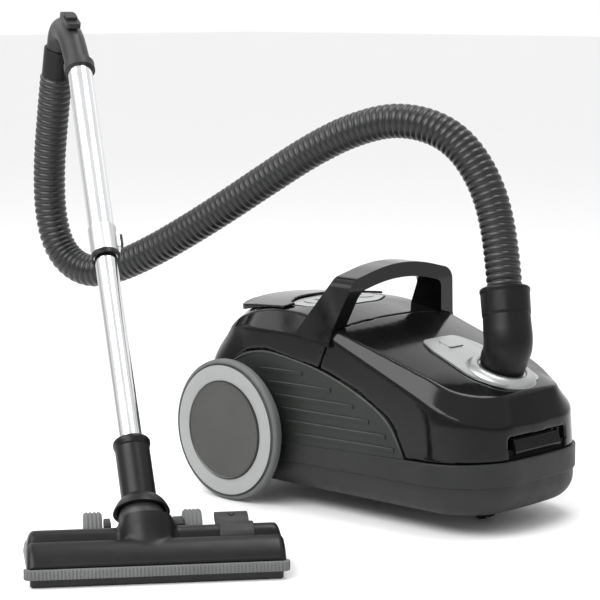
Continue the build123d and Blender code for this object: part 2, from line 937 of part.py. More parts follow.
def make_dust_bag():
    with BuildPart() as bag:
        with BuildSketch(side_view(82)):
            with BuildLine():
                FilletPolyline(
                    (122, 46),
                    (360, 46),
                    (372, 96),
                    (352, 142),
                    (300, 152),
                    (172, 190),
                    (122, 190),
                    radius=[26, 26, 30, 20, 60, 26, 26],
                    close=True,
                )
            make_face()
        extrude(amount=164)
        fillet(bag.faces().filter_by(Axis.Y).edges(), radius=18)
        with BuildSketch(PORT.offset(-23.5)):
            Circle(HOSE_BORE / 2 + 5)
        extrude(amount=-36)
    save(bag.part, "dust_bag")
    with BuildPart() as card:
        with BuildSketch(PORT.offset(-21)):
            RectangleRounded(84, 104, 6)
            Circle(HOSE_BORE / 2 + 3, mode=Mode.SUBTRACT)
        extrude(amount=-2.5)
    save(card.part, "bag_card")
    with BuildPart() as holder:
        with BuildSketch(PORT.offset(-23.5)):
            with Locations((4, 0)):
                Rectangle(92, 110)
            Rectangle(70, 80, mode=Mode.SUBTRACT)
        extrude(amount=-3)
        with BuildSketch(level(30)):
            with Locations((PORT_X + 37, -45), (PORT_X + 37, 45)):
                Rectangle(5, 12)
        extrude(amount=122)
    save(holder.part, "bag_holder")


# ---------------------------------------------------------------- hose, grip and wand

GRIP_PLANE_X = Vector(-0.905, 0.425, 0)
GRIP_ROOT = BALL + WAND_DIRECTION * GRIP_START


def in_grip(u, w):
    """A point of the grip's upright plane: u backward, w up from the wand's end."""
    return GRIP_ROOT + GRIP_PLANE_X * u + Vector(0, 0, w)


GRIP_BEND, GRIP_TOP, HOSE_END = in_grip(45, 48), in_grip(97, 60), in_grip(127, -9)
CUFF_DIRECTION = (HOSE_END - GRIP_TOP).normalized()
CUFF_SEAM = GRIP_TOP + CUFF_DIRECTION * 33
HOSE_ROUTE = [
    HOSE_START,
    HOSE_START + ELBOW_OUT * 72,
    in_body(277, 38, 438),
    in_body(226, 32, 492),
    in_body(155, 14, 510),
    in_body(85, -3, 493),
    in_body(19, -17, 461),
    in_body(-43, -31, 423),
    in_body(-104, -46, 384),
    in_body(-166, -62, 346),
    in_body(-229, -79, 310),
    in_body(-291, -97, 281),
    in_body(-345, -109, 271),
    in_body(-388, -118, 297),
    in_body(-401, -126, 350),
    in_body(-393, -134, 420),
    HOSE_END + CUFF_DIRECTION * 72,
    HOSE_END,
]


def bend_radii(points):
    """Largest arcs that still leave a straight between neighbouring bends."""
    radii = []
    for before, here, after in zip(points, points[1:], points[2:]):
        into, out = here - before, after - here
        half = math.radians(into.get_angle(out)) / 2
        radii.append(0.45 * min(into.length, out.length) / math.tan(half))
    return radii


def make_hose():
    radii = bend_radii(HOSE_ROUTE)
    print("hose bend radii", [round(r) for r in radii])
    with BuildPart() as hose:
        with BuildLine():
            path = FilletPolyline(*HOSE_ROUTE, radius=radii)
        with BuildSketch(Plane(origin=path @ 0, z_dir=path % 0)):
            Circle(HOSE_DIAMETER / 2)
            Circle(HOSE_BORE / 2, mode=Mode.SUBTRACT)
        sweep(path=path)
    section = math.pi * (HOSE_DIAMETER**2 - HOSE_BORE**2) / 4
    length = path.length
    print("hose length", round(length), "volume ratio", hose.part.volume / (section * length))
    save(hose.part, "hose")


GRIP_RADIUS, GRIP_BORE = 17.5, 14.5


def make_grip():
    with BuildPart() as grip:
        with BuildLine():
            path = FilletPolyline(GRIP_ROOT, GRIP_BEND, GRIP_TOP, CUFF_SEAM, radius=[60, 25])
        with BuildSketch(Plane(origin=path @ 0, z_dir=path % 0)):
            Circle(GRIP_RADIUS)
        sweep(path=path)
        with BuildSketch(wand(GRIP_START)):
            Circle(21)
        extrude(amount=12)
        with BuildSketch(wand(GRIP_START)):
            Circle(40)
        extrude(amount=-30, mode=Mode.SUBTRACT)
        with BuildSketch(Plane(origin=path @ 0, z_dir=path % 0)):
            Circle(GRIP_BORE)
        sweep(path=path, mode=Mode.SUBTRACT)
    tilt = (in_grip(66, 66) - in_grip(26, 50)).normalized()
    across = GRIP_PLANE_X.cross(Vector(0, 0, 1))
    face = Plane(origin=in_grip(48, 66), x_dir=tilt, z_dir=across.cross(tilt))
    with BuildPart() as guide:
        with BuildSketch(face):
            RectangleRounded(44, 20, 4)
        extrude(amount=7)
        add(grip.part, mode=Mode.SUBTRACT)
    with BuildPart() as whole:
        add(grip.part)
        add(guide.part)
    save(whole.part, "grip")
    with BuildPart() as slider:
        with BuildSketch(face.offset(7.05)):
            RectangleRounded(18, 16, 3)
        extrude(amount=4)
    save(slider.part, "suction_slider")


def make_hose_cuff():
    with BuildPart() as cuff:
        with BuildSketch(Plane(origin=CUFF_SEAM, z_dir=CUFF_DIRECTION)):
            Circle(21)
            Circle(GRIP_BORE, mode=Mode.SUBTRACT)
        extrude(amount=(HOSE_END - CUFF_SEAM).length - 0.1)
        fillet(cuff.edges().filter_by(GeomType.CIRCLE).group_by(SortBy.RADIUS)[-1], radius=1.5)
    save(cuff.part, "hose_cuff")


def make_wand():
    bore = UPPER_TUBE / 2 - TUBE_WALL
    with BuildPart() as upper:
        with BuildSketch(wand(TELESCOPE_END + 10)):
            Circle(UPPER_TUBE / 2)
            Circle(bore, mode=Mode.SUBTRACT)
        extrude(amount=GRIP_START - TELESCOPE_END - 10)
    save(upper.part, "upper_tube")
    pad = Plane(origin=wand(TELESCOPE_END + 25).origin, x_dir=WAND_DIRECTION, z_dir=WAND_SIDE)
    with BuildPart() as collar:
        with BuildSketch(wand(TELESCOPE_END)):
            Circle(COLLAR_RADIUS)
        extrude(amount=10)
        with BuildSketch(wand(TELESCOPE_END + 10)):
            Circle(COLLAR_RADIUS)
            Circle(UPPER_TUBE / 2, mode=Mode.SUBTRACT)
        extrude(amount=34)
        with BuildSketch(wand(TELESCOPE_END + 10)):
            Circle(bore)
        extrude(amount=30)
        with BuildSketch(wand(TELESCOPE_END)):
            Circle(LOWER_TUBE / 2 + 0.05)
        extrude(amount=60, mode=Mode.SUBTRACT)
        with BuildSketch(pad.offset(17)):
            RectangleRounded(30, 14, 4)
        extrude(amount=3.6)
        with BuildSketch(pad.offset(19.3)):
            RectangleRounded(19, 11, 3.5)
        extrude(amount=3, mode=Mode.SUBTRACT)
    save(collar.part, "telescope_collar")
    with BuildPart() as lock:
        with BuildSketch(pad.offset(20.4)):
            RectangleRounded(18, 10, 3)
        extrude(amount=4.2)
    save(lock.part, "length_lock")
    with BuildPart() as lower:
        with BuildSketch(wand(62)):
            Circle(LOWER_TUBE / 2)
            Circle(LOWER_TUBE / 2 - TUBE_WALL, mode=Mode.SUBTRACT)
        extrude(amount=TELESCOPE_END + LOWER_OVERLAP - 62)
    save(lower.part, "lower_tube")


# ---------------------------------------------------------------- floor nozzle

LONG = NOZZLE.x_dir
SWIVEL = (WAND_DIRECTION - LONG * WAND_DIRECTION.dot(LONG)).normalized()
HOOD_RADIUS = 35.0
ROLLER_V, ROLLER_RADIUS, ROLLER_WIDTH = -128.0, 28.0, 22.0
ROLLER_STATIONS = (-72.0, 47.0)


def nozzle_end(u):
    """Plane across the nozzle at a station along it: x forward, y up; extrudes along it."""
    return Plane(origin=nozzle_point(u, 0, 0), x_dir=-NOZZLE.y_dir, z_dir=-LONG)


def make_neck():
    """Socket for the lower tube, spreading into a hood over the ball."""
    with BuildPart() as neck:
        with Locations(Location(BALL)):
            Sphere(HOOD_RADIUS)
        with BuildSketch(Plane(origin=BALL + SWIVEL * 9, z_dir=SWIVEL)):
            Circle(60)
        extrude(amount=60, mode=Mode.INTERSECT)
        with BuildSketch(wand(20)):
            Circle(21)
        extrude(amount=NECK_END - 20)
        with Locations(Location(BALL)):
            Sphere(BALL_RADIUS + 0.4, mode=Mode.SUBTRACT)
        with BuildSketch(wand(20)):
            Circle(LOWER_TUBE / 2 - TUBE_WALL)
        extrude(amount=60, mode=Mode.SUBTRACT)
        with BuildSketch(wand(62)):
            Circle(LOWER_TUBE / 2)
        extrude(amount=60, mode=Mode.SUBTRACT)
    save(neck.part, "neck")


def make_knuckle():
    with BuildPart() as knuckle:
        with Locations(Location(BALL)):
            Sphere(BALL_RADIUS)
        add(pin(BALL - LONG * 40, LONG, 4.5, 80))
        with BuildSketch(Plane(origin=BALL, z_dir=SWIVEL)):
            Circle(16)
        extrude(amount=60, mode=Mode.SUBTRACT)
        with BuildSketch(Plane(origin=BALL, z_dir=-NOZZLE.y_dir)):
            Circle(11)
        extrude(amount=60, mode=Mode.SUBTRACT)
    save(knuckle.part, "knuckle")


def nozzle_block(profile, radii, left, right):
    """Bar along the nozzle from a profile given as forward and up."""
    with BuildPart() as bar:
        with BuildSketch(nozzle_end(right)):
            with BuildLine():
                FilletPolyline(*profile, radius=radii, close=True)
            make_face()
        extrude(amount=right - left)
    return bar.part


def nozzle_plan():
    """Plan outline of the nozzle behind its front strip."""
    with BuildSketch() as plan:
        with BuildLine():
            FilletPolyline(
                (-147, 6),
                (145, 6),
                (145, 60),
                (138, 91),
                (-140, 91),
                (-147, 60),
                radius=[4, 4, 20, 12, 12, 20],
                close=True,
            )
        make_face()
    return plan.sketch


def make_nozzle_base():
    radii = [0.5, 2, 2, 0.5]
    channel = nozzle_block([(-22, -1), (-22, 12), (-38, 12), (-38, -1)], radii, -128, 126)
    brush_slot = nozzle_block([(-46, -1), (-46, 13), (-56, 13), (-56, -1)], radii, -132, 130)
    hollow = nozzle_block([(-12, 15), (-12, 30), (-84, 30), (-84, 15)], radii, -139, 137)
    duct = pin(nozzle_point(BALL_U, -30, 5), (0, 0, 1), 7.5, 20)
    with BuildPart() as base:
        with BuildSketch(NOZZLE):
            add(nozzle_plan())
        extrude(amount=20)
        chamfer(base.faces().sort_by(Axis.Z)[0].edges(), length=1.5)
        add(channel, mode=Mode.SUBTRACT)
        add(brush_slot, mode=Mode.SUBTRACT)
        add(hollow, mode=Mode.SUBTRACT)
        add(duct, mode=Mode.SUBTRACT)
    save(base.part, "nozzle_base")


def cover_bar(profile, radii, grow=0.0):
    """Full-length bar of the cover, cut to the nozzle's plan."""
    with BuildPart() as bar:
        with BuildSketch(nozzle_end(146)):
            with BuildLine():
                FilletPolyline(*profile, radius=radii, close=True)
            make_face()
        extrude(amount=296)
        with BuildSketch(NOZZLE.offset(15)):
            add(nozzle_plan())
            if grow:
                offset(amount=-grow, mode=Mode.REPLACE)
        extrude(amount=60, mode=Mode.INTERSECT)
    return bar.part


def make_nozzle_cover():
    slope = cover_bar([(-91, 20), (-6, 20), (-6, 24), (-26, 36), (-47, 42), (-91, 36)], [1, 1, 2, 40, 3, 4])
    hollow = cover_bar([(-87, 18), (-12, 18), (-26, 32), (-47, 38), (-87, 32)], [1, 1, 20, 3, 3], 4)
    with BuildPart() as ridge:
        with BuildSketch(nozzle_end(137)):
            with Locations((-66, 28)):
                Circle(19.5)
        extrude(amount=274)
        fillet(ridge.edges().filter_by(GeomType.CIRCLE), radius=12)
    with BuildPart() as throat:
        with BuildSketch(nozzle_end(BALL_U + 27)):
            with BuildLine():
                FilletPolyline(
                    (-13, 26),
                    (-28, 42),
                    (-52, 57),
                    (-72, 57),
                    (-72, 26),
                    radius=[1, 20, 16, 2, 1],
                    close=True,
                )
            make_face()
        extrude(amount=54)
        with BuildSketch(NOZZLE.offset(24)):
            with Locations((BALL_U, 42)):
                RectangleRounded(54, 62, 22)
        extrude(amount=36, mode=Mode.INTERSECT)
    with BuildPart() as cheeks:
        with BuildSketch(nozzle_end(BALL_U + 40.5)):
            with Locations((BALL_V, BALL_Z)):
                Circle(8)
            with Locations((BALL_V, BALL_Z - 15)):
                Rectangle(16, 30)
        extrude(amount=5)
        mirror(about=Plane(origin=BALL, z_dir=LONG))
    with BuildPart() as cover:
        add(slope)
        add(ridge.part)
        with BuildSketch(NOZZLE.offset(20)):
            Rectangle(400, 400)
        extrude(amount=60, mode=Mode.INTERSECT)
        add(hollow, mode=Mode.SUBTRACT)
        with Locations(Location(BALL)):
            Sphere(HOOD_RADIUS + 1.5, mode=Mode.SUBTRACT)
        add(throat.part)
        with Locations(Location(BALL)):
            Sphere(BALL_RADIUS + 0.4, mode=Mode.SUBTRACT)
        add(cheeks.part)
        add(pin(BALL - LONG * 60, LONG, 4.55, 120), mode=Mode.SUBTRACT)
        add(pin(nozzle_point(BALL_U, -30, 5), (0, 0, 1), 7.5, 32), mode=Mode.SUBTRACT)
        add(pedal_space(0.5), mode=Mode.SUBTRACT)
    save(cover.part, "nozzle_cover")


PEDAL_U, PEDAL_V = 95.0, -70.0


def pedal_space(grow):
    """Block round the pedal, grown for the pocket it sits in."""
    with BuildPart() as space:
        with BuildSketch(NOZZLE.offset(39 - grow)):
            with Locations((PEDAL_U, -PEDAL_V)):
                RectangleRounded(46 + 2 * grow, 44 + 2 * grow, 5)
        extrude(amount=40)
    return space.part


def make_pedal():
    with BuildPart() as pedal:
        with BuildSketch(nozzle_end(PEDAL_U + 23)):
            with BuildLine():
                FilletPolyline(
                    (-49, 42),
                    (-49, 45),
                    (-68, 51),
                    (-91, 61),
                    (-91.5, 56),
                    (-72, 43),
                    radius=[1, 2, 20, 2, 2, 6],
                    close=True,
                )
            make_face()
        extrude(amount=46)
        add(pedal_space(0), mode=Mode.INTERSECT)
    save(pedal.part, "pedal")
    with BuildPart() as frame:
        with BuildSketch(NOZZLE.offset(6)):
            with Locations((-1, 51)):
                Rectangle(256, 8)
        extrude(amount=5)
        with BuildSketch(NOZZLE.offset(1)):
            with Locations((-1, 51)):
                Rectangle(252, 5)
        extrude(amount=5)
    save(frame.part, "brush_strip")


def make_front_strip():
    with BuildPart() as strip:
        with BuildSketch(NOZZLE.offset(10)):
            Rectangle(306, 12, align=(Align.CENTER, Align.MIN))
            with Locations((-1, 6)):
                Rectangle(292, 20, align=(Align.CENTER, Align.MIN), mode=Mode.SUBTRACT)
        extrude(amount=12)
        fillet(strip.edges().filter_by(Axis.Z), radius=1)
        with BuildSketch(NOZZLE.offset(10)):
            with GridLocations(9, 1, 33, 1):
                Rectangle(1.6, 1.2)
        extrude(amount=12)
    save(strip.part, "front_strip")


def make_rollers():
    with BuildPart() as carrier:
        for u in ROLLER_STATIONS:
            for side in (-1, 1):
                near = u + side * (ROLLER_WIDTH / 2 + 3)
                with BuildSketch(nozzle_end(near + 2)):
                    with BuildLine():
                        Polyline(
                            (-91.2, 14),
                            (-91.2, 34),
                            (ROLLER_V, 34),
                            (ROLLER_V - 7, 28),
                            (ROLLER_V, 21),
                            (-91.2, 14),
                        )
                    make_face()
                extrude(amount=4)
            axle = nozzle_point(u - ROLLER_WIDTH / 2 - 3, ROLLER_V, ROLLER_RADIUS)
            add(pin(axle, LONG, 3, ROLLER_WIDTH + 6))
        with BuildSketch(nozzle_end(64)):
            with Locations((-92.7, 18)):
                Rectangle(3.4, 8)
        extrude(amount=154)
    save(carrier.part, "roller_carrier")
    for u, name in zip(ROLLER_STATIONS, ("left_roller", "right_roller")):
        centre = nozzle_point(u - ROLLER_WIDTH / 2, ROLLER_V, ROLLER_RADIUS)
        with BuildPart() as roller:
            add(pin(centre, LONG, ROLLER_RADIUS, ROLLER_WIDTH, 3.05))
            fillet(roller.edges().filter_by(GeomType.CIRCLE).group_by(SortBy.RADIUS)[-1], radius=3)
        save(roller.part, name)


# ---------------------------------------------------------------- make everything

make_base_tub()
make_bumper_band()
make_rear_housing()
make_side_panel(RIGHT, "side_panel_right")
make_side_panel(LEFT, "side_panel_left")
make_lid()
make_port_surround()
make_release_button()
make_latch_lever()
make_elbow()
make_port_seal()
make_button_panel()
make_top_button(LEFT, "power_button")
make_top_button(RIGHT, "rewind_button")
make_button_springs()
make_exhaust_cover()
make_carry_handle()
make_wheel(LEFT, "left")
make_wheel(RIGHT, "right")
make_axles()
make_caster()
make_bulkhead()
make_motor()
make_reel()
make_cord_outlet()
make_filters()
make_dust_bag()
make_hose()
make_grip()
make_hose_cuff()
make_wand()
make_neck()
make_knuckle()
make_nozzle_base()
make_nozzle_cover()
make_pedal()
make_front_strip()
make_rollers()
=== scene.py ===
"""Looks of the canister vacuum cleaner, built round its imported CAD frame. Lengths are metres."""

import math

import bmesh
import bpy
import numpy as np
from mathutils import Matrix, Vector
from mathutils.bvhtree import BVHTree


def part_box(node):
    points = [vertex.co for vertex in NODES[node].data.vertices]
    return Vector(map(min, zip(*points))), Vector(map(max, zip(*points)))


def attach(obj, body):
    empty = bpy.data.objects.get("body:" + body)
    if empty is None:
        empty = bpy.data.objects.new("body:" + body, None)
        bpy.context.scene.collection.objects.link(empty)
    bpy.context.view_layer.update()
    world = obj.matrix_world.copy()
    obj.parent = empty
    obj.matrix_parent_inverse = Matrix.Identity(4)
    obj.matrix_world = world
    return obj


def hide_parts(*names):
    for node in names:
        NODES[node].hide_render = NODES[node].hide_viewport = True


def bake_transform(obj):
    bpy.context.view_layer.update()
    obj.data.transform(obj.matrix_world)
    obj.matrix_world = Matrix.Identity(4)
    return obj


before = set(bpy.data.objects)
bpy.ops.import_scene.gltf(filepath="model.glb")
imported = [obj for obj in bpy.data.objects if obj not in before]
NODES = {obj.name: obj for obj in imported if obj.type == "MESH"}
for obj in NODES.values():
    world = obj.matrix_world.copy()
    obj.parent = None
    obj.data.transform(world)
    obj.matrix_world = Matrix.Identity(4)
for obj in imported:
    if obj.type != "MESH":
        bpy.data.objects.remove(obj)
bpy.context.scene.view_settings.view_transform = "Standard"
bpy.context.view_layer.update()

MM = 0.001
AXLE_X, MID_Y = -20.32, 229.23     # rear axle and centre plane of the body in the row, in mm


def body(x, y, z):
    """A point of the body (mm from the rear axle and centre plane) in the row frame."""
    return Vector(((AXLE_X + x) * MM, (MID_Y + y) * MM, z * MM))


NOZZLE_TURN = math.radians(52.0)
LONG = Vector((math.cos(NOZZLE_TURN), math.sin(NOZZLE_TURN), 0))
AHEAD = Vector((math.sin(NOZZLE_TURN), -math.cos(NOZZLE_TURN), 0))
NOZZLE_MID = body(245.0, -505.3, 0)
UP = Vector((0, 0, 1))
RIGHT, LEFT = -1, 1


def nozzle(u, v, z):
    """A point of the nozzle: u along it, v forward of its front edge, z up, in mm."""
    return NOZZLE_MID + (LONG * u + AHEAD * v + UP * z) * MM


BALL = nozzle(-14.0, -80.0, 57.0)
WAND = Vector((-0.578, 0.368, 0.728)).normalized()


def wand(s):
    """A point on the wand's middle line, s mm up from the ball joint."""
    return BALL + WAND * s * MM


# ---------------------------------------------------------------- camera

cam_data = bpy.data.cameras.new("camera")
cam_data.lens = 126.0
cam_data.sensor_width = 36.0
cam_data.clip_end = 50.0
camera = bpy.data.objects.new("camera", cam_data)
bpy.context.scene.collection.objects.link(camera)
camera.location = body(1977.4, -2080.2, 663.3)
LOOK_LEVEL = Vector((-0.692, 0.722, 0))      # where the camera looks, seen from above
LOOK_DOWN = math.radians(8.127)
look = LOOK_LEVEL * math.cos(LOOK_DOWN) - UP * math.sin(LOOK_DOWN)
camera.rotation_euler = look.to_track_quat("-Z", "Y").to_euler()
bpy.context.scene.camera = camera


# ---------------------------------------------------------------- materials


def material(name, colour, rough, metal=0.0, coat=0.0, mottle=0.12, mottle_scale=18.0,
             rough_spread=0.06, grain=0.15, grain_scale=1400.0, stretch=(1, 1, 1),
             scratch=0.0, sheen=0.0, specular=0.5):
    """Moulded or metal surface: mottled colour, uneven gloss and a fine grain."""
    m = bpy.data.materials.new(name)
    m.use_nodes = True
    tree = m.node_tree
    shader = tree.nodes["Principled BSDF"]
    shader.inputs["Metallic"].default_value = metal
    shader.inputs["Coat Weight"].default_value = coat
    shader.inputs["Coat Roughness"].default_value = 0.06
    shader.inputs["Specular IOR Level"].default_value = specular
    shader.inputs["Sheen Weight"].default_value = sheen
    coords = tree.nodes.new("ShaderNodeTexCoord")
    mapping = tree.nodes.new("ShaderNodeMapping")
    mapping.inputs["Scale"].default_value = stretch
    tree.links.new(coords.outputs["Object"], mapping.inputs["Vector"])

    def noise(scale, detail):
        n = tree.nodes.new("ShaderNodeTexNoise")
        n.inputs["Scale"].default_value = scale
        n.inputs["Detail"].default_value = detail
        tree.links.new(mapping.outputs["Vector"], n.inputs["Vector"])
        return n.outputs["Fac"]

    ramp = tree.nodes.new("ShaderNodeValToRGB")
    ramp.color_ramp.elements[0].position = 0.3
    ramp.color_ramp.elements[1].position = 0.7
    ramp.color_ramp.elements[0].color = [c * (1 - mottle) for c in colour] + [1]
    ramp.color_ramp.elements[1].color = [min(1, c * (1 + mottle)) for c in colour] + [1]
    tree.links.new(noise(mottle_scale, 6), ramp.inputs["Fac"])
    tree.links.new(ramp.outputs["Color"], shader.inputs["Base Color"])
    spread = tree.nodes.new("ShaderNodeMapRange")
    spread.inputs["From Min"].default_value = 0.3
    spread.inputs["From Max"].default_value = 0.7
    spread.inputs["To Min"].default_value = max(0.02, rough - rough_spread)
    spread.inputs["To Max"].default_value = min(1.0, rough + rough_spread)
    tree.links.new(noise(mottle_scale * 2.7, 8), spread.inputs["Value"])
    tree.links.new(spread.outputs["Result"], shader.inputs["Roughness"])
    bump = tree.nodes.new("ShaderNodeBump")
    bump.inputs["Strength"].default_value = grain
    bump.inputs["Distance"].default_value = 0.0002
    tree.links.new(noise(grain_scale, 3), bump.inputs["Height"])
    last = bump
    if scratch:
        fine = tree.nodes.new("ShaderNodeTexVoronoi")
        fine.inputs["Scale"].default_value = 240.0
        tree.links.new(mapping.outputs["Vector"], fine.inputs["Vector"])
        second = tree.nodes.new("ShaderNodeBump")
        second.inputs["Strength"].default_value = scratch
        second.inputs["Distance"].default_value = 0.0002
        tree.links.new(fine.outputs["Distance"], second.inputs["Height"])
        tree.links.new(bump.outputs["Normal"], second.inputs["Normal"])
        last = second
    tree.links.new(last.outputs["Normal"], shader.inputs["Normal"])
    return m


gloss_black = material("gloss_black", (0.0045, 0.0045, 0.0045), 0.12, rough_spread=0.035,
                       grain=0.02, grain_scale=500, specular=0.22)
satin_black = material("satin_black", (0.0045, 0.0045, 0.0045), 0.36, grain=0.12,
                       specular=0.20)
matte_black = material("matte_black", (0.0125, 0.013, 0.0125), 0.5, grain=0.3, specular=0.3)
# painted shade: near-black finish for sheets set into gaps, standing in for the shadow inside them
painted_shade_black = material("painted_shade_black", (0.002, 0.002, 0.002), 0.7, grain=0.2, specular=0.1)
tub_grey = material("tub_grey", (0.0125, 0.0138, 0.0127), 0.5, grain=0.35, specular=0.3)
panel_grey = material("panel_grey", (0.0155, 0.0175, 0.0160), 0.46, grain=0.35,
                      specular=0.3)
# painted highlight: lighter grey for the raised panel edges and ribs, standing in for the light
# they catch
edge_highlight_grey = material("edge_highlight_grey", (0.033, 0.036, 0.034), 0.42, grain=0.25, specular=0.35)
silver = material("silver_plastic", (0.37, 0.38, 0.38), 0.33, metal=0.85, mottle=0.02,
                  rough_spread=0.02, grain=0.05)
ring_grey = material("ring_grey", (0.265, 0.270, 0.270), 0.42, mottle=0.05, grain=0.15)
disc_grey = material("disc_grey", (0.060, 0.060, 0.057), 0.34, metal=0.5, mottle=0.07,
                     grain=0.06, specular=0.35)
tyre_grey = material("tyre_grey", (0.105, 0.108, 0.108), 0.6, grain=0.4, mottle=0.12,
                     specular=0.3)
satin_grey = material("satin_grey", (0.032, 0.032, 0.032), 0.4, grain=0.2, specular=0.3)
strip_grey = material("strip_grey", (0.115, 0.117, 0.117), 0.6, grain=0.4, mottle=0.12,
                      specular=0.3)
grip_grey = material("grip_grey", (0.016, 0.016, 0.0165), 0.42, grain=0.2, specular=0.3)
sleeve = material("satin_sleeve", (0.60, 0.61, 0.62), 0.3, metal=1.0, mottle=0.02,
                  rough_spread=0.03, grain=0.04)
line_dark = material("line_dark", (0.02, 0.02, 0.02), 0.6, grain=0.2, specular=0.2)
rubber = material("rubber_black", (0.012, 0.012, 0.012), 0.62, grain=0.4, specular=0.3)
hose_skin = material("hose_skin", (0.0062, 0.0064, 0.0068), 0.36, mottle=0.15, grain=0.2,
                     specular=0.45)
chrome = material("chrome_tube", (0.74, 0.75, 0.76), 0.16, metal=1.0, mottle=0.03,
                  mottle_scale=9, rough_spread=0.04, grain=0.03, grain_scale=300)
steel = material("steel", (0.42, 0.42, 0.43), 0.33, metal=1.0, mottle=0.08, grain=0.1)
copper = material("copper", (0.45, 0.20, 0.09), 0.4, metal=0.9, mottle=0.2, grain=0.4,
                  grain_scale=600, stretch=(6, 1, 1))
paper = material("bag_paper", (0.52, 0.43, 0.31), 0.85, mottle=0.1, grain=0.7,
                 grain_scale=900, sheen=0.2)
fleece = material("filter_fleece", (0.7, 0.7, 0.66), 0.95, mottle=0.08, grain=1.0,
                  grain_scale=1800, sheen=0.4)
board = material("circuit_board", (0.012, 0.09, 0.035), 0.4, mottle=0.3, mottle_scale=90)
bristle = material("bristles", (0.012, 0.012, 0.012), 0.8, grain=1.0, grain_scale=2500)

FINISH = {
    tub_grey: "base_tub bumper_band",
    gloss_black: "rear_housing lid latch_lever exhaust_cover carry_handle",
    panel_grey: "side_panel_left side_panel_right",
    satin_black: "hose_cuff elbow neck knuckle nozzle_cover",
    grip_grey: "grip",
    matte_black: "bulkhead cord_reel bag_holder suction_slider length_lock caster_fork "
                 "caster_wheels nozzle_base pedal roller_carrier",
    sleeve: "telescope_collar",
    silver: "button_panel port_surround release_button power_button rewind_button",
    ring_grey: "left_ring right_ring",
    disc_grey: "left_disc right_disc",
    tyre_grey: "left_tyre right_tyre front_strip left_roller right_roller",
    rubber: "motor_mounts wound_cord cord_outlet port_seal",
    chrome: "upper_tube lower_tube",
    steel: "button_springs motor_case motor_rotor reel_spring_case wheel_axle",
    copper: "motor_stator",
    paper: "dust_bag bag_card",
    fleece: "motor_filter exhaust_filter",
    board: "control_board",
    bristle: "brush_strip",
}
for finish, names in FINISH.items():
    for name in names.split():
        for slot in NODES[name].material_slots:
            slot.material = finish


# ---------------------------------------------------------------- mesh helpers


def ease(value, low, high):
    """0 below low, 1 above high and a smooth step between."""
    t = max(0.0, min(1.0, (value - low) / (high - low)))
    return t * t * (3 - 2 * t)


def new_piece(name, bm, finish, ride, sharp=None):
    """Makes an object of a mesh, in one finish, riding on a body."""
    mesh = bpy.data.meshes.new(name)
    bmesh.ops.recalc_face_normals(bm, faces=bm.faces)
    bm.to_mesh(mesh)
    bm.free()
    mesh.shade_smooth()
    if sharp:
        mesh.set_sharp_from_angle(angle=math.radians(sharp))
    mesh.materials.append(finish)
    piece = bpy.data.objects.new(name, mesh)
    bpy.context.scene.collection.objects.link(piece)
    if ride:
        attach(piece, ride)
    return piece


def rings_to_mesh(bm, rings):
    """Joins equal rings of points into a tube, and caps its ends."""
    rows = [[bm.verts.new(p) for p in ring] for ring in rings]
    count = len(rows[0])
    for a, b in zip(rows, rows[1:]):
        for i in range(count):
            bm.faces.new((a[i], a[(i + 1) % count], b[(i + 1) % count], b[i]))
    bm.faces.new(rows[0])
    bm.faces.new(rows[-1])


def circle_points(centre, side, other, radius, count):
    """Points round a circle in the plane of two unit vectors."""
    turns = (2 * math.pi * k / count for k in range(count))
    return [centre + (side * math.cos(a) + other * math.sin(a)) * radius for a in turns]


def lathe(bm, centre, axis, profile, around=72):
    """Turns a closed profile of (along, radius) in mm about an axis."""
    axis = axis.normalized()
    side = axis.orthogonal().normalized()
    other = axis.cross(side)
    columns = []
    for i in range(around):
        a = 2 * math.pi * i / around
        out = side * math.cos(a) + other * math.sin(a)
        columns.append([bm.verts.new(centre + (axis * h + out * r) * MM) for h, r in profile])
    count = len(profile)
    for i in range(around):
        a, b = columns[i], columns[(i + 1) % around]
        for j in range(count):
            k = (j + 1) % count
            bm.faces.new((a[j], a[k], b[k], b[j]))


# ---------------------------------------------------------------- hose

HOSE_POINTS = [
    body(330, 16, 298),
    body(309.83, 32.06, 365.22),
    body(277, 38, 438),
    body(226, 32, 492),
    body(155, 14, 510),
    body(85, -3, 493),
    body(19, -17, 461),
    body(-43, -31, 423),
    body(-104, -46, 384),
    body(-166, -62, 346),
    body(-229, -79, 310),
    body(-291, -97, 281),
    body(-345, -109, 271),
    body(-388, -118, 297),
    body(-401, -126, 350),
    body(-393, -134, 420),
    body(-372.28, -143.24, 491.70),
    body(-346.30, -155.44, 557.73),
]
HOSE_CORE = 0.0203          # radius between the rings
RING_RISE = 0.0027          # how far a ring stands above the core
RING_ROUND = 0.55           # below 1, a ring's back is flatter and its flanks steeper
RING_PITCH = 0.0092
RING_STEPS = 10             # sections along each ring
PLAIN_STEPS = 3             # sections left plain at each end


def spline_points(points, name):
    """Points along a smooth NURBS line with these control points."""
    data = bpy.data.curves.new(name, "CURVE")
    data.dimensions = "3D"
    data.resolution_u = 48
    spline = data.splines.new("NURBS")
    spline.points.add(len(points) - 1)
    for p, co in zip(spline.points, points):
        p.co = (*co, 1.0)
    spline.order_u = 3
    spline.use_endpoint_u = True
    holder = bpy.data.objects.new(name, data)
    bpy.context.scene.collection.objects.link(holder)
    bpy.context.view_layer.update()
    graph = bpy.context.evaluated_depsgraph_get()
    line = bpy.data.meshes.new_from_object(holder.evaluated_get(graph))
    found = [v.co.copy() for v in line.vertices]
    bpy.data.meshes.remove(line)
    bpy.data.objects.remove(holder)
    bpy.data.curves.remove(data)
    return found


def line_length(points):
    return sum((b - a).length for a, b in zip(points, points[1:]))


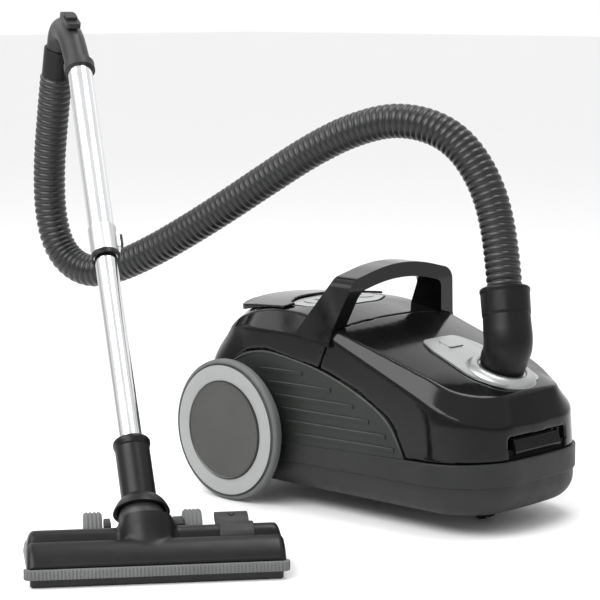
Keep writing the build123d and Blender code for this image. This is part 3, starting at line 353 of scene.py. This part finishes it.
def walk(points, step):
    """Evenly spaced points along a line, with the direction at each."""
    lengths = [0.0]
    for a, b in zip(points, points[1:]):
        lengths.append(lengths[-1] + (b - a).length)
    count = max(2, round(lengths[-1] / step))
    out, k = [], 0
    for i in range(count + 1):
        s = lengths[-1] * i / count
        while k < len(points) - 2 and lengths[k + 1] < s:
            k += 1
        span = lengths[k + 1] - lengths[k]
        t = (s - lengths[k]) / span if span else 0.0
        out.append(points[k].lerp(points[k + 1], t))
    ways = []
    for i in range(len(out)):
        ways.append((out[min(i + 1, len(out) - 1)] - out[max(i - 1, 0)]).normalized())
    return out, ways


def frames(ways):
    """A side vector at each point, carried along without twisting."""
    side = ways[0].orthogonal().normalized()
    sides = [side]
    for a, b in zip(ways, ways[1:]):
        side = a.rotation_difference(b) @ side
        side = (side - b * side.dot(b)).normalized()
        sides.append(side)
    return sides


def make_hose():
    """Ribbed hose from the elbow to the grip."""
    path = spline_points(HOSE_POINTS, "hose_route")
    total = line_length(path)
    rings = round(total / RING_PITCH)
    spots, ways = walk(path, total / (rings * RING_STEPS))
    sections = []
    for i, (spot, way, side) in enumerate(zip(spots, ways, frames(ways))):
        swell = abs(math.sin(math.pi * (i % RING_STEPS) / RING_STEPS)) ** RING_ROUND
        if min(i, len(spots) - 1 - i) < PLAIN_STEPS:
            swell = 0.0
        radius = HOSE_CORE + RING_RISE * swell
        sections.append(circle_points(spot, side, way.cross(side), radius, 40))
    bm = bmesh.new()
    rings_to_mesh(bm, sections)
    piece = new_piece("hose_ribbed", bm, hose_skin, None)
    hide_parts("hose")
    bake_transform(piece)


make_hose()


# ---------------------------------------------------------------- surface helpers


def surface(*names):
    """Ray target made of CAD nodes."""
    bm = bmesh.new()
    for name in names:
        bm.from_mesh(NODES[name].data)
    tree = BVHTree.FromBMesh(bm)
    bm.free()
    return tree


def on_side(tree, x, z, side, lift=0.0):
    """Point of a side wall at body x and z, lifted outwards by mm, or None."""
    hit = tree.ray_cast(body(x, side * 400, z), Vector((0, -side, 0)))[0]
    return hit + Vector((0, side * lift * MM, 0)) if hit else None


def on_top(tree, x, y, lift=0.0):
    """Point of an upper surface at body x and y, lifted by mm, or None."""
    hit = tree.ray_cast(body(x, y, 600), Vector((0, 0, -1)))[0]
    return hit + UP * lift * MM if hit else None


def smooth_line(points, step):
    """Evenly spaced points on a rounded line through a few 2-D points."""
    curve = spline_points([Vector((*p, 0)) for p in points], "guide")
    spots = walk(curve, step)[0]
    return [(p.x, p.y) for p in spots]


def bead(bm, points, out, half, proud, sink=0.6, taper=8):
    """Raised bead with a rounded back along surface points; out points off the surface.

    It is half mm wide each way and proud mm high, sinks in a little, and narrows over the
    last few points at each end.
    """
    points = [p for p in points if p is not None]
    rings = []
    last = len(points) - 1
    for i, p in enumerate(points):
        way = (points[min(i + 1, last)] - points[max(i - 1, 0)]).normalized()
        across = way.cross(out).normalized()
        grow = min(1.0, (min(i, last - i) + 0.35) / taper) ** 0.5 if taper else 1.0
        ring = []
        for a in (math.pi * k / 8 for k in range(9)):
            ring.append(p + (across * math.cos(a) * half * grow
                             + out * (math.sin(a) * proud * grow)) * MM)
        ring.append(p - (across * half * grow + out * sink) * MM)
        ring.append(p + (across * half * grow - out * sink) * MM)
        rings.append(ring)
    rings_to_mesh(bm, rings)


# ---------------------------------------------------------------- body details

PANEL_TOP = [(-62, 150), (-40, 168), (0, 194), (40, 203), (92, 196), (142, 187), (207, 165),
             (258, 138), (284, 100), (303, 66)]
PANEL_RIBS = [
    ((33, 178), (109, 180)), ((49, 162), (160, 164)), ((64, 146), (200, 148)),
    ((75, 130), (227, 132)), ((85, 114), (256, 117)), ((99, 99), (271, 102)),
]


def make_side_lines():
    """Beads along the side panels' upper edges and slanted ribs: real raised ridges, in a lighter
    grey that paints on the highlight they catch.
    """
    for side, word in ((RIGHT, "right"), (LEFT, "left")):
        tree = surface("side_panel_" + word)
        out = Vector((0, side, 0))
        bm = bmesh.new()
        edge = [on_side(tree, x, z, side) for x, z in smooth_line(PANEL_TOP, 3.0)]
        bead(bm, edge, out, 1.7, 1.3)
        new_piece("panel_edge_" + word, bm, edge_highlight_grey, "canister")
        bm = bmesh.new()
        for (x0, z0), (x1, z1) in PANEL_RIBS:
            count = int((x1 - x0) / 4)
            line = [on_side(tree, x0 + (x1 - x0) * i / count, z0 + (z1 - z0) * i / count
                            + 2.0, side) for i in range(count + 1)]
            bead(bm, line, out, 1.1, 1.0)
        new_piece("panel_ribs_" + word, bm, edge_highlight_grey, "canister")


WHEEL_MID = body(0, 0, 95)
RING_INNER, RING_OUTER = 66.0, 88.0


def make_wheel_lines():
    """Thin dark seams on both edges of the wheels' pale rings."""
    for side, word in ((RIGHT, "right"), (LEFT, "left")):
        for radius, name in ((RING_INNER, "inner"), (RING_OUTER, "outer")):
            low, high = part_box(word + "_ring")
            face = max(abs(low.y / MM - MID_Y), abs(high.y / MM - MID_Y))
            bm = bmesh.new()
            lathe(bm, WHEEL_MID, Vector((0, side, 0)),
                  [(face - 0.6, radius - 0.7), (face + 0.18, radius - 0.5),
                   (face + 0.25, radius), (face + 0.18, radius + 0.5),
                   (face - 0.6, radius + 0.7)], around=128)
            new_piece("wheel_line_%s_%s" % (name, word), bm, line_dark,
                      word + "_wheel")


def make_discs():
    """Shallow dished hub disc with a turned rim line."""
    profile = [(143.0, 0.4), (143.0, 65.5), (164.6, 65.8), (166.4, 65.2), (166.8, 64.2),
               (166.2, 63.4), (165.6, 62.8), (165.0, 52.0), (164.3, 38.0), (163.8, 24.0),
               (163.5, 12.0), (163.4, 0.4)]
    for side, word in ((RIGHT, "right"), (LEFT, "left")):
        bm = bmesh.new()
        lathe(bm, WHEEL_MID, Vector((0, side, 0)), profile, around=144)
        piece = new_piece("hub_" + word, bm, disc_grey, word + "_wheel",
                          sharp=35)
        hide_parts(word + "_disc")


def make_lid_gap_shade():
    """Near-black upstand inside the joint between the lid and the bumper band: a sheet of painted
    shade that darkens the gap.
    """
    inset, thick, foot, top = 8.0 * MM, 1.6 * MM, 80 * MM, 109 * MM
    tree = surface("bumper_band")
    rings = []
    for k in range(-34, 35):
        a = math.radians(2.2 * k)
        way = Vector((math.cos(a), math.sin(a), 0))
        hit = tree.ray_cast(body(240, 0, 88) + way * 0.4, -way)[0]
        if hit:
            outer, inner = hit - way * inset, hit - way * (inset + thick)
            rings.append([Vector((outer.x, outer.y, foot)), Vector((outer.x, outer.y, top)),
                          Vector((inner.x, inner.y, top)), Vector((inner.x, inner.y, foot))])
    bm = bmesh.new()
    rings_to_mesh(bm, rings)
    # painted shade: this near-black sheet stands in for the shadow inside the joint
    new_piece("lid_gap_shade_sheet", bm, painted_shade_black, "canister", sharp=40)


def make_tyres():
    """Soft tyre with a rounded tread that narrows towards the body."""
    profile = [(161.9, 88.1), (161.9, 91.0), (161.2, 93.2), (159.6, 94.6), (157.4, 95.0),
               (153.0, 95.0), (150.6, 94.2), (148.6, 92.2), (146.4, 88.0), (144.6, 82.0),
               (148.0, 80.0), (150.0, 88.1)]
    for side, word in ((RIGHT, "right"), (LEFT, "left")):
        bm = bmesh.new()
        lathe(bm, WHEEL_MID, Vector((0, side, 0)), profile, around=144)
        piece = new_piece("tyre_" + word, bm, tyre_grey, word + "_wheel")
        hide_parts(word + "_tyre")


PORT_TILT = math.radians(17.6)
PORT_UP = Vector((math.sin(PORT_TILT), 0, math.cos(PORT_TILT)))
PORT_X = 338
LID_TOP_X, LID_TOP_Z = 158, 250      # where the lid's top starts to slope down
PORT_MID = body(PORT_X, 0, LID_TOP_Z - (PORT_X - LID_TOP_X) * math.tan(PORT_TILT))


def crown_fit():
    """Smooth formula for the lid's top round the port, from points on it."""
    tree = surface("lid", "port_surround")
    rows, heights = [], []
    for x in range(216, 392, 6):
        for y in range(-66, 67, 6):
            p = on_top(tree, x, y)
            if p and math.hypot(x - PORT_X, y) > 40:
                rows.append(crown_terms(x, y))
                heights.append(p.z / MM)
    return np.linalg.lstsq(np.array(rows), np.array(heights), rcond=None)[0]


def crown_terms(x, y):
    """Terms of the crown's formula at body x and y."""
    a, b = (x - 300) / 80.0, y / 60.0
    return [1, a, a * a, a ** 3, b * b, a * b * b, b ** 4]


def make_port_trim():
    """Teardrop trim and its button, drawn in a little round the connector."""
    crown = crown_fit()
    for node, name, finish, ride in (("port_surround", "port_trim", silver, "lid_body"),
                                     ("release_button", "release_cap", silver, "release")):
        bm = bmesh.new()
        bm.from_mesh(NODES[node].data)
        for v in bm.verts:
            x, y = v.co.x / MM - AXLE_X, v.co.y / MM - MID_Y
            far = ease(math.hypot(x - PORT_X, y), 33, 44)
            shorter = 0.10 if x < PORT_X else 0.15
            new_x = PORT_X + (x - PORT_X) * (1 - shorter * far)
            new_y = y * (1 - 0.11 * far)
            rise = np.dot(crown, crown_terms(new_x, new_y)) - np.dot(crown, crown_terms(x, y))
            v.co += Vector((new_x - x, new_y - y, rise)) * MM
        piece = new_piece(name, bm, finish, ride, sharp=30)
        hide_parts(node)


def make_port_lip():
    """Bulging ring of the teardrop trim round the connector."""
    bm = bmesh.new()
    profile = [(-6, 30.6), (4.5, 30.6), (7.6, 31.6), (9.2, 33.4), (9.6, 35.6), (9.0, 38.0),
               (7.4, 41.0), (5.0, 43.8), (2.0, 46.2), (-2.0, 48.0), (-6, 48.4)]
    lathe(bm, PORT_MID, PORT_UP, profile, around=96)
    new_piece("port_lip", bm, silver, "lid_body")


BUTTON_X, BUTTON_Y, MARK_RADIUS = 57, 35, 7


def make_button_marks():
    """Power ring and rewind arrow on the two top buttons."""
    mid, reach = BUTTON_X, MARK_RADIUS
    for name, side, mark in (("power", LEFT, "ring"), ("rewind", RIGHT, "arrow")):
        tree = surface(name + "_button")
        bm = bmesh.new()
        arc = range(35, 326, 10) if mark == "ring" else range(60, 331, 10)
        line = [on_top(tree, mid - reach * math.cos(math.radians(a)),
                       side * BUTTON_Y + reach * math.sin(math.radians(a))) for a in arc]
        bead(bm, line, UP, 0.8, 0.35, taper=0)
        if mark == "ring":
            bar = [on_top(tree, mid - d, side * BUTTON_Y) for d in (2, 4, 6, 8, 10)]
        else:
            tip = math.radians(330)
            x, y = mid - reach * math.cos(tip), side * BUTTON_Y + reach * math.sin(tip)
            bar = [on_top(tree, x + d, y + d * 0.2) for d in (-4, -2, 0, 2, 4)]
        bead(bm, bar, UP, 0.8, 0.35, taper=0)
        new_piece(name + "_mark", bm, line_dark, name)


def even_copy(name, pitch, passes):
    """CAD node's surface as an even mesh of small faces, with its edges softened."""
    holder = bpy.data.objects.new(name + "_even", NODES[name].data.copy())
    bpy.context.scene.collection.objects.link(holder)
    remesh = holder.modifiers.new("even", "REMESH")
    remesh.mode = "VOXEL"
    remesh.voxel_size = pitch * MM
    bpy.context.view_layer.update()
    graph = bpy.context.evaluated_depsgraph_get()
    mesh = bpy.data.meshes.new_from_object(holder.evaluated_get(graph))
    bm = bmesh.new()
    bm.from_mesh(mesh)
    bpy.data.objects.remove(holder)
    bpy.data.meshes.remove(mesh)
    for _ in range(passes):
        bmesh.ops.smooth_vert(bm, verts=bm.verts, factor=0.5, use_axis_x=True,
                              use_axis_y=True, use_axis_z=True)
    return bm


def draw_in(bm, amount, way, high, far, wide):
    """Draws a shell's outer corners in by up to amount mm.

    way is the direction for the right side (x, y, z). high, far and wide say over what z, what
    distance along x and what distance from the centre plane the pull grows from none to full.
    """
    ahead = 1 if way[0] < 0 else -1
    for v in bm.verts:
        x, y, z = v.co.x / MM - AXLE_X, v.co.y / MM - MID_Y, v.co.z / MM
        pull = amount * ease(z, *high) * ease(ahead * x, *far) * ease(abs(y), *wide)
        inward = Vector((way[0], -way[1] * math.copysign(1, y), way[2]))
        v.co += inward * pull * MM


EVERY_HEIGHT = (-2, -1)


def make_shells():
    """Rear housing, lid and exhaust cover with the softer corners of moulded parts."""
    for node, name, ride, pitch, passes, pull in (
            ("rear_housing", "rear_shell", "canister", 1.8, 5,
             (20, (0.72, 0.72, -0.25), (165, 236), (-20, 70), (60, 118))),
            ("lid", "lid_shell", "lid_body", 1.8, 5,
             (20, (-0.68, 0.68, -0.3), (140, 205), (300, 385), (48, 112))),
            ("exhaust_cover", "exhaust_shell", "exhaust", 1.3, 4,
             (7, (0.5, 0.5, -1), EVERY_HEIGHT, (10, 80), (62, 122)))):
        bm = even_copy(node, pitch, passes)
        draw_in(bm, *pull)
        piece = new_piece(name, bm, gloss_black, ride)
        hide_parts(node)


# The elbow stands on the port, turns, and points along the hose's first run.
ELBOW_ROOT = PORT_MID - PORT_UP * 6 * MM
ELBOW_TURN = ELBOW_ROOT + PORT_UP * 46 * MM
ELBOW_OUT = (HOSE_POINTS[0] - ELBOW_TURN).normalized()


def make_elbow():
    """Bulging connector with a ribbed thumb grip and a rolled rim round the hose."""
    tip = HOSE_POINTS[0] + ELBOW_OUT * 1 * MM
    line = spline_points([ELBOW_ROOT, ELBOW_ROOT.lerp(ELBOW_TURN, 0.6), ELBOW_TURN,
                          ELBOW_TURN.lerp(tip, 0.3), tip], "elbow_line")
    spots, ways = walk(line, 0.0012)
    sides = frames(ways)
    radii = [(0.0, 27.5), (0.10, 28.2), (0.2, 29.6), (0.35, 31.2), (0.5, 31.4), (0.62, 30.8),
             (0.70, 30.6), (0.705, 31.4), (0.94, 31.8), (0.97, 32.6), (0.99, 32.4),
             (1.0, 31.2)]
    rings = []
    last = len(spots) - 1
    for i, (spot, way, side) in enumerate(zip(spots, ways, sides)):
        t = i / last
        for (t0, r0), (t1, r1) in zip(radii, radii[1:]):
            if t0 <= t <= t1:
                radius = r0 + (r1 - r0) * (t - t0) / (t1 - t0)
        rings.append(circle_points(spot, side, way.cross(side), radius * MM, 72))
    spot, way, side = spots[-1], ways[-1], sides[-1]
    for depth, radius in ((0.4, 27.5), (0.0, 24.4), (-14, 24.0)):
        rings.append(circle_points(spot + way * depth * MM, side, way.cross(side),
                                   radius * MM, 72))
    bm = bmesh.new()
    rings_to_mesh(bm, rings)
    piece = new_piece("elbow_swivel", bm, satin_black, "lid_body", sharp=40)
    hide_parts("elbow")
    bm = bmesh.new()
    for k in range(6):
        turn = math.radians(200 + 9 * k)
        out = (PORT_UP.cross(Vector((0, 1, 0))) * -math.cos(turn)
               + Vector((0, 1, 0)) * math.sin(turn)).normalized()
        line = [ELBOW_ROOT + (PORT_UP * h + out * (28.4 + 0.09 * (h - 14))) * MM
                for h in range(14, 34, 2)]
        bead(bm, line, out, 1.0, 1.4, taper=3)
    new_piece("elbow_grip", bm, satin_black, "lid_body")


make_shells()
make_elbow()
make_side_lines()
make_wheel_lines()
make_tyres()
make_discs()
make_lid_gap_shade()
make_port_trim()
make_port_lip()
make_button_marks()


# ---------------------------------------------------------------- wand and nozzle


def make_collar_ring():
    """Black seal ring where the lower tube leaves the sleeve."""
    reach = min((v.co - BALL).dot(WAND) for v in NODES["telescope_collar"].data.vertices)
    bm = bmesh.new()
    lathe(bm, BALL + WAND * reach, WAND,
          [(-3.6, 16.4), (-4.4, 17.2), (-4.4, 18.4), (-3.6, 19.0), (2.6, 19.0), (3.4, 18.5),
           (3.4, 18.25), (-0.05, 18.25), (-0.05, 16.4)], around=72)
    new_piece("collar_ring", bm, satin_black, "canister", sharp=35)


def make_neck_rim():
    """Rolled rim round the mouth of the nozzle's neck."""
    bm = bmesh.new()
    lathe(bm, wand(0), WAND, [(92, 20.6), (98, 21.4), (101.5, 22.7), (105, 22.9),
                              (106.6, 22.2), (106.9, 20.6), (106.2, 14.6), (98, 14.4)],
          around=72)
    new_piece("neck_rim", bm, satin_black, "lower_wand")


SWIVEL = (WAND - LONG * WAND.dot(LONG)).normalized()
DOME_RADIUS = 27.6


def make_knuckle():
    """Ball under the hood, with a near-black ring of painted shade in the gap where the hood's
    edge runs round it.
    """
    profile = []
    for k in range(61):
        a = math.radians(28 + 150 * k / 60)
        profile.append((DOME_RADIUS * math.cos(a), DOME_RADIUS * math.sin(a)))
    profile += [(-24, 0.6), (18, 12.0)]
    bm = bmesh.new()
    lathe(bm, BALL, SWIVEL, profile, around=96)
    piece = new_piece("knuckle_dome", bm, satin_grey, "ball")
    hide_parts("knuckle")
    bm = bmesh.new()
    # painted shade: near-black ring standing in for the shadow in the gap round the ball
    lathe(bm, BALL, SWIVEL, [(9.6, 27.4), (9.6, 33.0), (12.5, 32.0), (12.5, 27.0)], around=96)
    new_piece("hood_gap_painted_shade", bm, painted_shade_black, "lower_wand")


def front_bar(v):
    """Height of the rounded front bar."""
    rise = max(0.0, min(1.0, (-5.0 - v) / 35.0))
    return 21.5 + 24.0 * math.sin(rise * math.pi / 2) ** 0.72 - 10.0 * ease(-v, 40, 46)


RIDGE_V, RIDGE_Z, RIDGE_RADIUS, RIDGE_END, RIDGE_NOSE = -64, 37.0, 15.5, 147.5, 9.0


def ridge_bar(u, v):
    """Height of the rounded rib along the back of the cover, with round ends."""
    over = max(0.0, abs(u + 1) - (RIDGE_END - RIDGE_NOSE))
    inner = RIDGE_RADIUS ** 2 - (v - RIDGE_V) ** 2
    if inner <= 0 or over >= RIDGE_NOSE:
        return 0.0
    return RIDGE_Z + math.sqrt(inner) * math.sqrt(max(0.0, 1 - (over / RIDGE_NOSE) ** 2))


THROAT = [(-100, 91), (-80, 92), (-70, 90.5), (-62, 87), (-55, 80), (-49, 71.5), (-43, 62.5),
          (-37, 54.5), (-30, 46.5), (-22, 39.0), (-14, 31), (-6, 20)]


def throat_top(v):
    """Height of the throat's middle line."""
    for (v0, z0), (v1, z1) in zip(THROAT, THROAT[1:]):
        if v0 <= v <= v1:
            return z0 + (z1 - z0) * (v - v0) / (v1 - v0)
    return THROAT[0][1] if v < THROAT[0][0] else 20.0


def cover_height(u, v):
    """Height of the cover's top above the floor at station u and v, in mm."""
    base = max(front_bar(v), ridge_bar(u, v), 38.0 if v < -48 else 0.0)
    half = 35.5 - 17.0 * ease(v, -56, -20)
    x = abs(u + 9.0) / half
    if x < 1:
        base = max(base, 24 + (throat_top(v) - 24) * (1 - x ** 2.4) ** 0.5)
    return base


def splay(u, v):
    """The cover is a little longer at its back than at the bumper strip."""
    return u * (1 - v / 90.0 * (0.02 if u < 0 else 0.028))


THROAT_CUT = BALL - SWIVEL * 6 * MM
COVER_FOOT, COVER_WALL = 20.0, 2.2


def round_off(distance, reach, depth):
    """How far a rounded edge has dropped, this near to it."""
    if distance >= reach:
        return 0.0
    return (1 - math.sqrt(max(0.0, 1 - (1 - distance / reach) ** 2))) * depth


def cover_grid(us, vs):
    """Softened heights of the cover over its grid of stations."""
    grid = np.array([[cover_height(u, v) for v in vs] for u in us])
    for _ in range(5):
        wide = np.pad(grid, 1, mode="edge")
        grid = (wide[:-2, 1:-1] + wide[2:, 1:-1] + wide[1:-1, :-2] + wide[1:-1, 2:]
                + 2 * wide[1:-1, 1:-1]) / 6
    for i, u in enumerate(us):
        for j, v in enumerate(vs):
            fall = max(round_off(min(u - us[0], us[-1] - u), 9, 14),
                       round_off(v - vs[0], 5, 10))
            grid[i, j] = max(COVER_FOOT + 0.2, grid[i, j] - fall)
    return grid


def open_throat(bm):
    """Cuts the mouth that the hood turns in out of the cover's mesh."""
    above = 50 * MM
    near = [f for f in bm.faces
            if (f.calc_center_median() - BALL).length < 52 * MM
            and f.calc_center_median().z > above]
    edges = {e for f in near for e in f.edges}
    verts = {v for f in near for v in f.verts}
    bmesh.ops.bisect_plane(bm, geom=list(verts) + list(edges) + near,
                           plane_co=THROAT_CUT, plane_no=SWIVEL)
    gone = []
    for face in bm.faces:
        centre = face.calc_center_median()
        away = (centre - BALL).length
        if ((centre - THROAT_CUT).dot(SWIVEL) > 0 and away < 60 * MM
                and (centre.z > above or away < 40.5 * MM)):
            gone.append(face)
    bmesh.ops.delete(bm, geom=gone, context="FACES")


def make_nozzle_cover():
    """Smooth cover: front bar, rear ridge and a throat that wraps the ball."""
    step, left, right, back, front = 1.6, -150.5, 148.5, -90.5, -5.5
    nu = int((right - left) / step) + 1
    nv = int((front - back) / step) + 1
    us = [left + (right - left) * i / (nu - 1) for i in range(nu)]
    vs = [back + (front - back) * j / (nv - 1) for j in range(nv)]
    grid = cover_grid(us, vs)
    bm = bmesh.new()
    top, low = [], []
    for i, u in enumerate(us):
        top.append([bm.verts.new(nozzle(splay(u, v), v, grid[i, j]))
                    for j, v in enumerate(vs)])
        row = []
        for j, v in enumerate(vs):
            edge = i in (0, nu - 1) or j in (0, nv - 1)
            z = COVER_FOOT if edge else max(COVER_FOOT, grid[i, j] - COVER_WALL)
            row.append(bm.verts.new(nozzle(splay(u, v), v, z)))
        low.append(row)
    for i in range(nu - 1):
        for j in range(nv - 1):
            bm.faces.new((top[i][j], top[i + 1][j], top[i + 1][j + 1], top[i][j + 1]))
            bm.faces.new((low[i][j], low[i][j + 1], low[i + 1][j + 1], low[i + 1][j]))
    rim = ([(i, 0) for i in range(nu)] + [(nu - 1, j) for j in range(1, nv)]
           + [(i, nv - 1) for i in range(nu - 2, -1, -1)]
           + [(0, j) for j in range(nv - 2, 0, -1)])
    for (i, j), (k, m) in zip(rim, rim[1:] + rim[:1]):
        bm.faces.new((top[i][j], top[k][m], low[k][m], low[i][j]))
    open_throat(bm)
    piece = new_piece("nozzle_shell", bm, satin_black, "nozzle")
    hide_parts("nozzle_cover")


def make_front_strip():
    """Soft bumper strip with fine upright ribs, wrapped round the front corners."""
    corner, half, rib_pitch = 7.0, 152.6, 4.3
    low, high, inside = 10.4, 21.6, -5.6
    path = [(-half, -12.0), (-half, -corner)]
    path += [(-half + corner - corner * math.cos(a), -corner + corner * math.sin(a))
             for a in (math.pi / 2 * k / 10 for k in range(1, 11))]
    path += [(-u, v) for u, v in reversed(path)]
    line = [Vector((u - 1, v, 0)) for u, v in path]
    spots, ways = walk(line, 0.43)
    length = line_length(line)
    rings = []
    for i, (spot, way) in enumerate(zip(spots, ways)):
        out = Vector((-way.y, way.x, 0))
        phase = (length * i / (len(spots) - 1)) / rib_pitch % 1.0
        swell = 0.55 if 0.18 < phase < 0.82 else -0.25
        ring = []
        for off, z in ((inside, low), (swell - 0.6, low), (swell, low + 0.8),
                       (swell, high - 0.8), (swell - 0.6, high), (inside, high)):
            p = spot + out * off
            ring.append(nozzle(p.x, p.y, z))
        rings.append(ring)
    bm = bmesh.new()
    rings_to_mesh(bm, rings)
    piece = new_piece("front_strip_ribbed", bm, strip_grey, "nozzle", sharp=40)
    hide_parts("front_strip")


def make_rollers():
    """Rear rollers with four soft rounded tread rings each."""
    for u, word in ((-70.0, "left"), (49.5, "right")):
        profile = [(-11, 4), (-11, 25.5), (-9.6, 27.2)]
        for k in range(4):
            mid = -7.2 + 4.8 * k
            profile += [(mid - 2.1, 26.6), (mid - 1.3, 27.8), (mid, 28.0),
                        (mid + 1.3, 27.8), (mid + 2.1, 26.6)]
        profile += [(9.6, 27.2), (11, 25.5), (11, 4)]
        bm = bmesh.new()
        lathe(bm, nozzle(u, -128, 28), LONG, profile, around=72)
        piece = new_piece("%s_roller_ribbed" % word, bm, strip_grey, "roller_" + word[0])
        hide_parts(word + "_roller")


def slab(bm, outline, left, right, bevel=1.2):
    """Bevelled block with a (v, z) outline between two stations u."""
    ends = []
    for u in (left, right):
        ends.append([bm.verts.new(nozzle(u, v, z)) for v, z in outline])
    faces = [bm.faces.new(ends[0]), bm.faces.new(ends[1])]
    count = len(outline)
    for k in range(count):
        j = (k + 1) % count
        faces.append(bm.faces.new((ends[0][k], ends[0][j], ends[1][j], ends[1][k])))
    edges = {e for f in faces for e in f.edges}
    bmesh.ops.bevel(bm, geom=list(edges), offset=bevel * MM, segments=3, profile=0.5,
                    affect="EDGES", clamp_overlap=True)


def make_brackets():
    """Blocks that carry the inner ends of the roller axles."""
    bm = bmesh.new()
    for left, right in ((-57.5, -49.5), (25.0, 37.0)):
        slab(bm, [(-92, 22), (-92, 48), (-97, 51), (-118, 51), (-124, 47), (-124, 22)],
             left, right)
    new_piece("roller_brackets", bm, matte_black, "nozzle", sharp=35)


def make_pedal():
    """Two-plate foot pedal with a small raised arrow."""
    bm = bmesh.new()
    slab(bm, [(-91, 61.5), (-80, 58.5), (-68, 53), (-66.5, 48), (-80, 49.5), (-92, 55)],
         72, 112)
    slab(bm, [(-67.2, 55.5), (-58, 54), (-49, 48.5), (-44.5, 43.5), (-45, 41), (-58, 47),
              (-67.2, 50)], 75, 116)
    mark = [nozzle(92 + a, -82.0 + b, 60.2 - (b + 1) * 0.32) for a, b in
            ((-4, -2.2), (4, -2.2), (0, 2.6))]
    low = [p - UP * MM for p in mark]
    a = [bm.verts.new(p + UP * 0.35 * MM) for p in mark]
    b = [bm.verts.new(p) for p in low]
    bm.faces.new(a)
    bm.faces.new(b)
    for k in range(3):
        bm.faces.new((a[k], a[(k + 1) % 3], b[(k + 1) % 3], b[k]))
    piece = new_piece("foot_pedal", bm, matte_black, "pedal_body", sharp=35)
    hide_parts("pedal")


make_collar_ring()
make_neck_rim()
make_knuckle()
make_nozzle_cover()
make_front_strip()
make_rollers()
make_brackets()
make_pedal()


# ---------------------------------------------------------------- stage


def area_light(name, spot, aim, width, height, power):
    """Softbox at a spot, turned towards a point."""
    data = bpy.data.lights.new(name, "AREA")
    data.shape = "RECTANGLE"
    data.size = width
    data.size_y = height
    data.energy = power
    light = bpy.data.objects.new(name, data)
    bpy.context.scene.collection.objects.link(light)
    light.location = spot
    light.rotation_euler = (Vector(aim) - Vector(spot)).to_track_quat("-Z", "Y").to_euler()


def make_stage():
    """White floor, a world that is brightest behind the object, and the softboxes."""
    bm = bmesh.new()
    bmesh.ops.create_grid(bm, x_segments=1, y_segments=1, size=30)
    mesh = bpy.data.meshes.new("floor")
    bm.to_mesh(mesh)
    bm.free()
    floor = bpy.data.objects.new("floor", mesh)
    bpy.context.scene.collection.objects.link(floor)
    floor.location = (0, 0, -0.0005)
    pale = material("floor_white", (0.86, 0.86, 0.86), 0.6, mottle=0.01, grain=0.02)
    mesh.materials.append(pale)
    world = bpy.data.worlds.new("world")
    bpy.context.scene.world = world
    world.use_nodes = True
    tree = world.node_tree
    back = tree.nodes["Background"]
    back.inputs["Color"].default_value = (1, 1, 1, 1)
    coords = tree.nodes.new("ShaderNodeTexCoord")
    toward = tree.nodes.new("ShaderNodeVectorMath")
    toward.operation = "DOT_PRODUCT"
    toward.inputs[1].default_value = LOOK_LEVEL
    tree.links.new(coords.outputs["Generated"], toward.inputs[0])
    fade = tree.nodes.new("ShaderNodeMapRange")
    fade.interpolation_type = "SMOOTHSTEP"
    fade.inputs["From Min"].default_value = 0.35
    fade.inputs["From Max"].default_value = 0.92
    fade.inputs["To Min"].default_value = 0.5
    fade.inputs["To Max"].default_value = 1.0
    tree.links.new(toward.outputs["Value"], fade.inputs["Value"])
    tree.links.new(fade.outputs["Result"], back.inputs["Strength"])
    sun = bpy.data.lights.new("overhead", "SUN")
    sun.energy = 1.3
    sun.angle = math.radians(150)
    above = bpy.data.objects.new("overhead", sun)
    bpy.context.scene.collection.objects.link(above)
    area_light("key", (1.3, -2.2, 2.2), (0, 0, 0.15), 1.0, 1.0, 14)
    area_light("shoulder", (-1.9, -0.7, 1.9), (0.1, 0.1, 0.15), 1.4, 0.7, 7)
    area_light("band", (-0.2, -1.7, 2.0), (0.2, 0.1, 0.18), 2.0, 1.5, 62)
    area_light("top", (0.3, 0.6, 2.6), (0.1, 0.1, 0.1), 1.6, 0.9, 30)


make_stage()
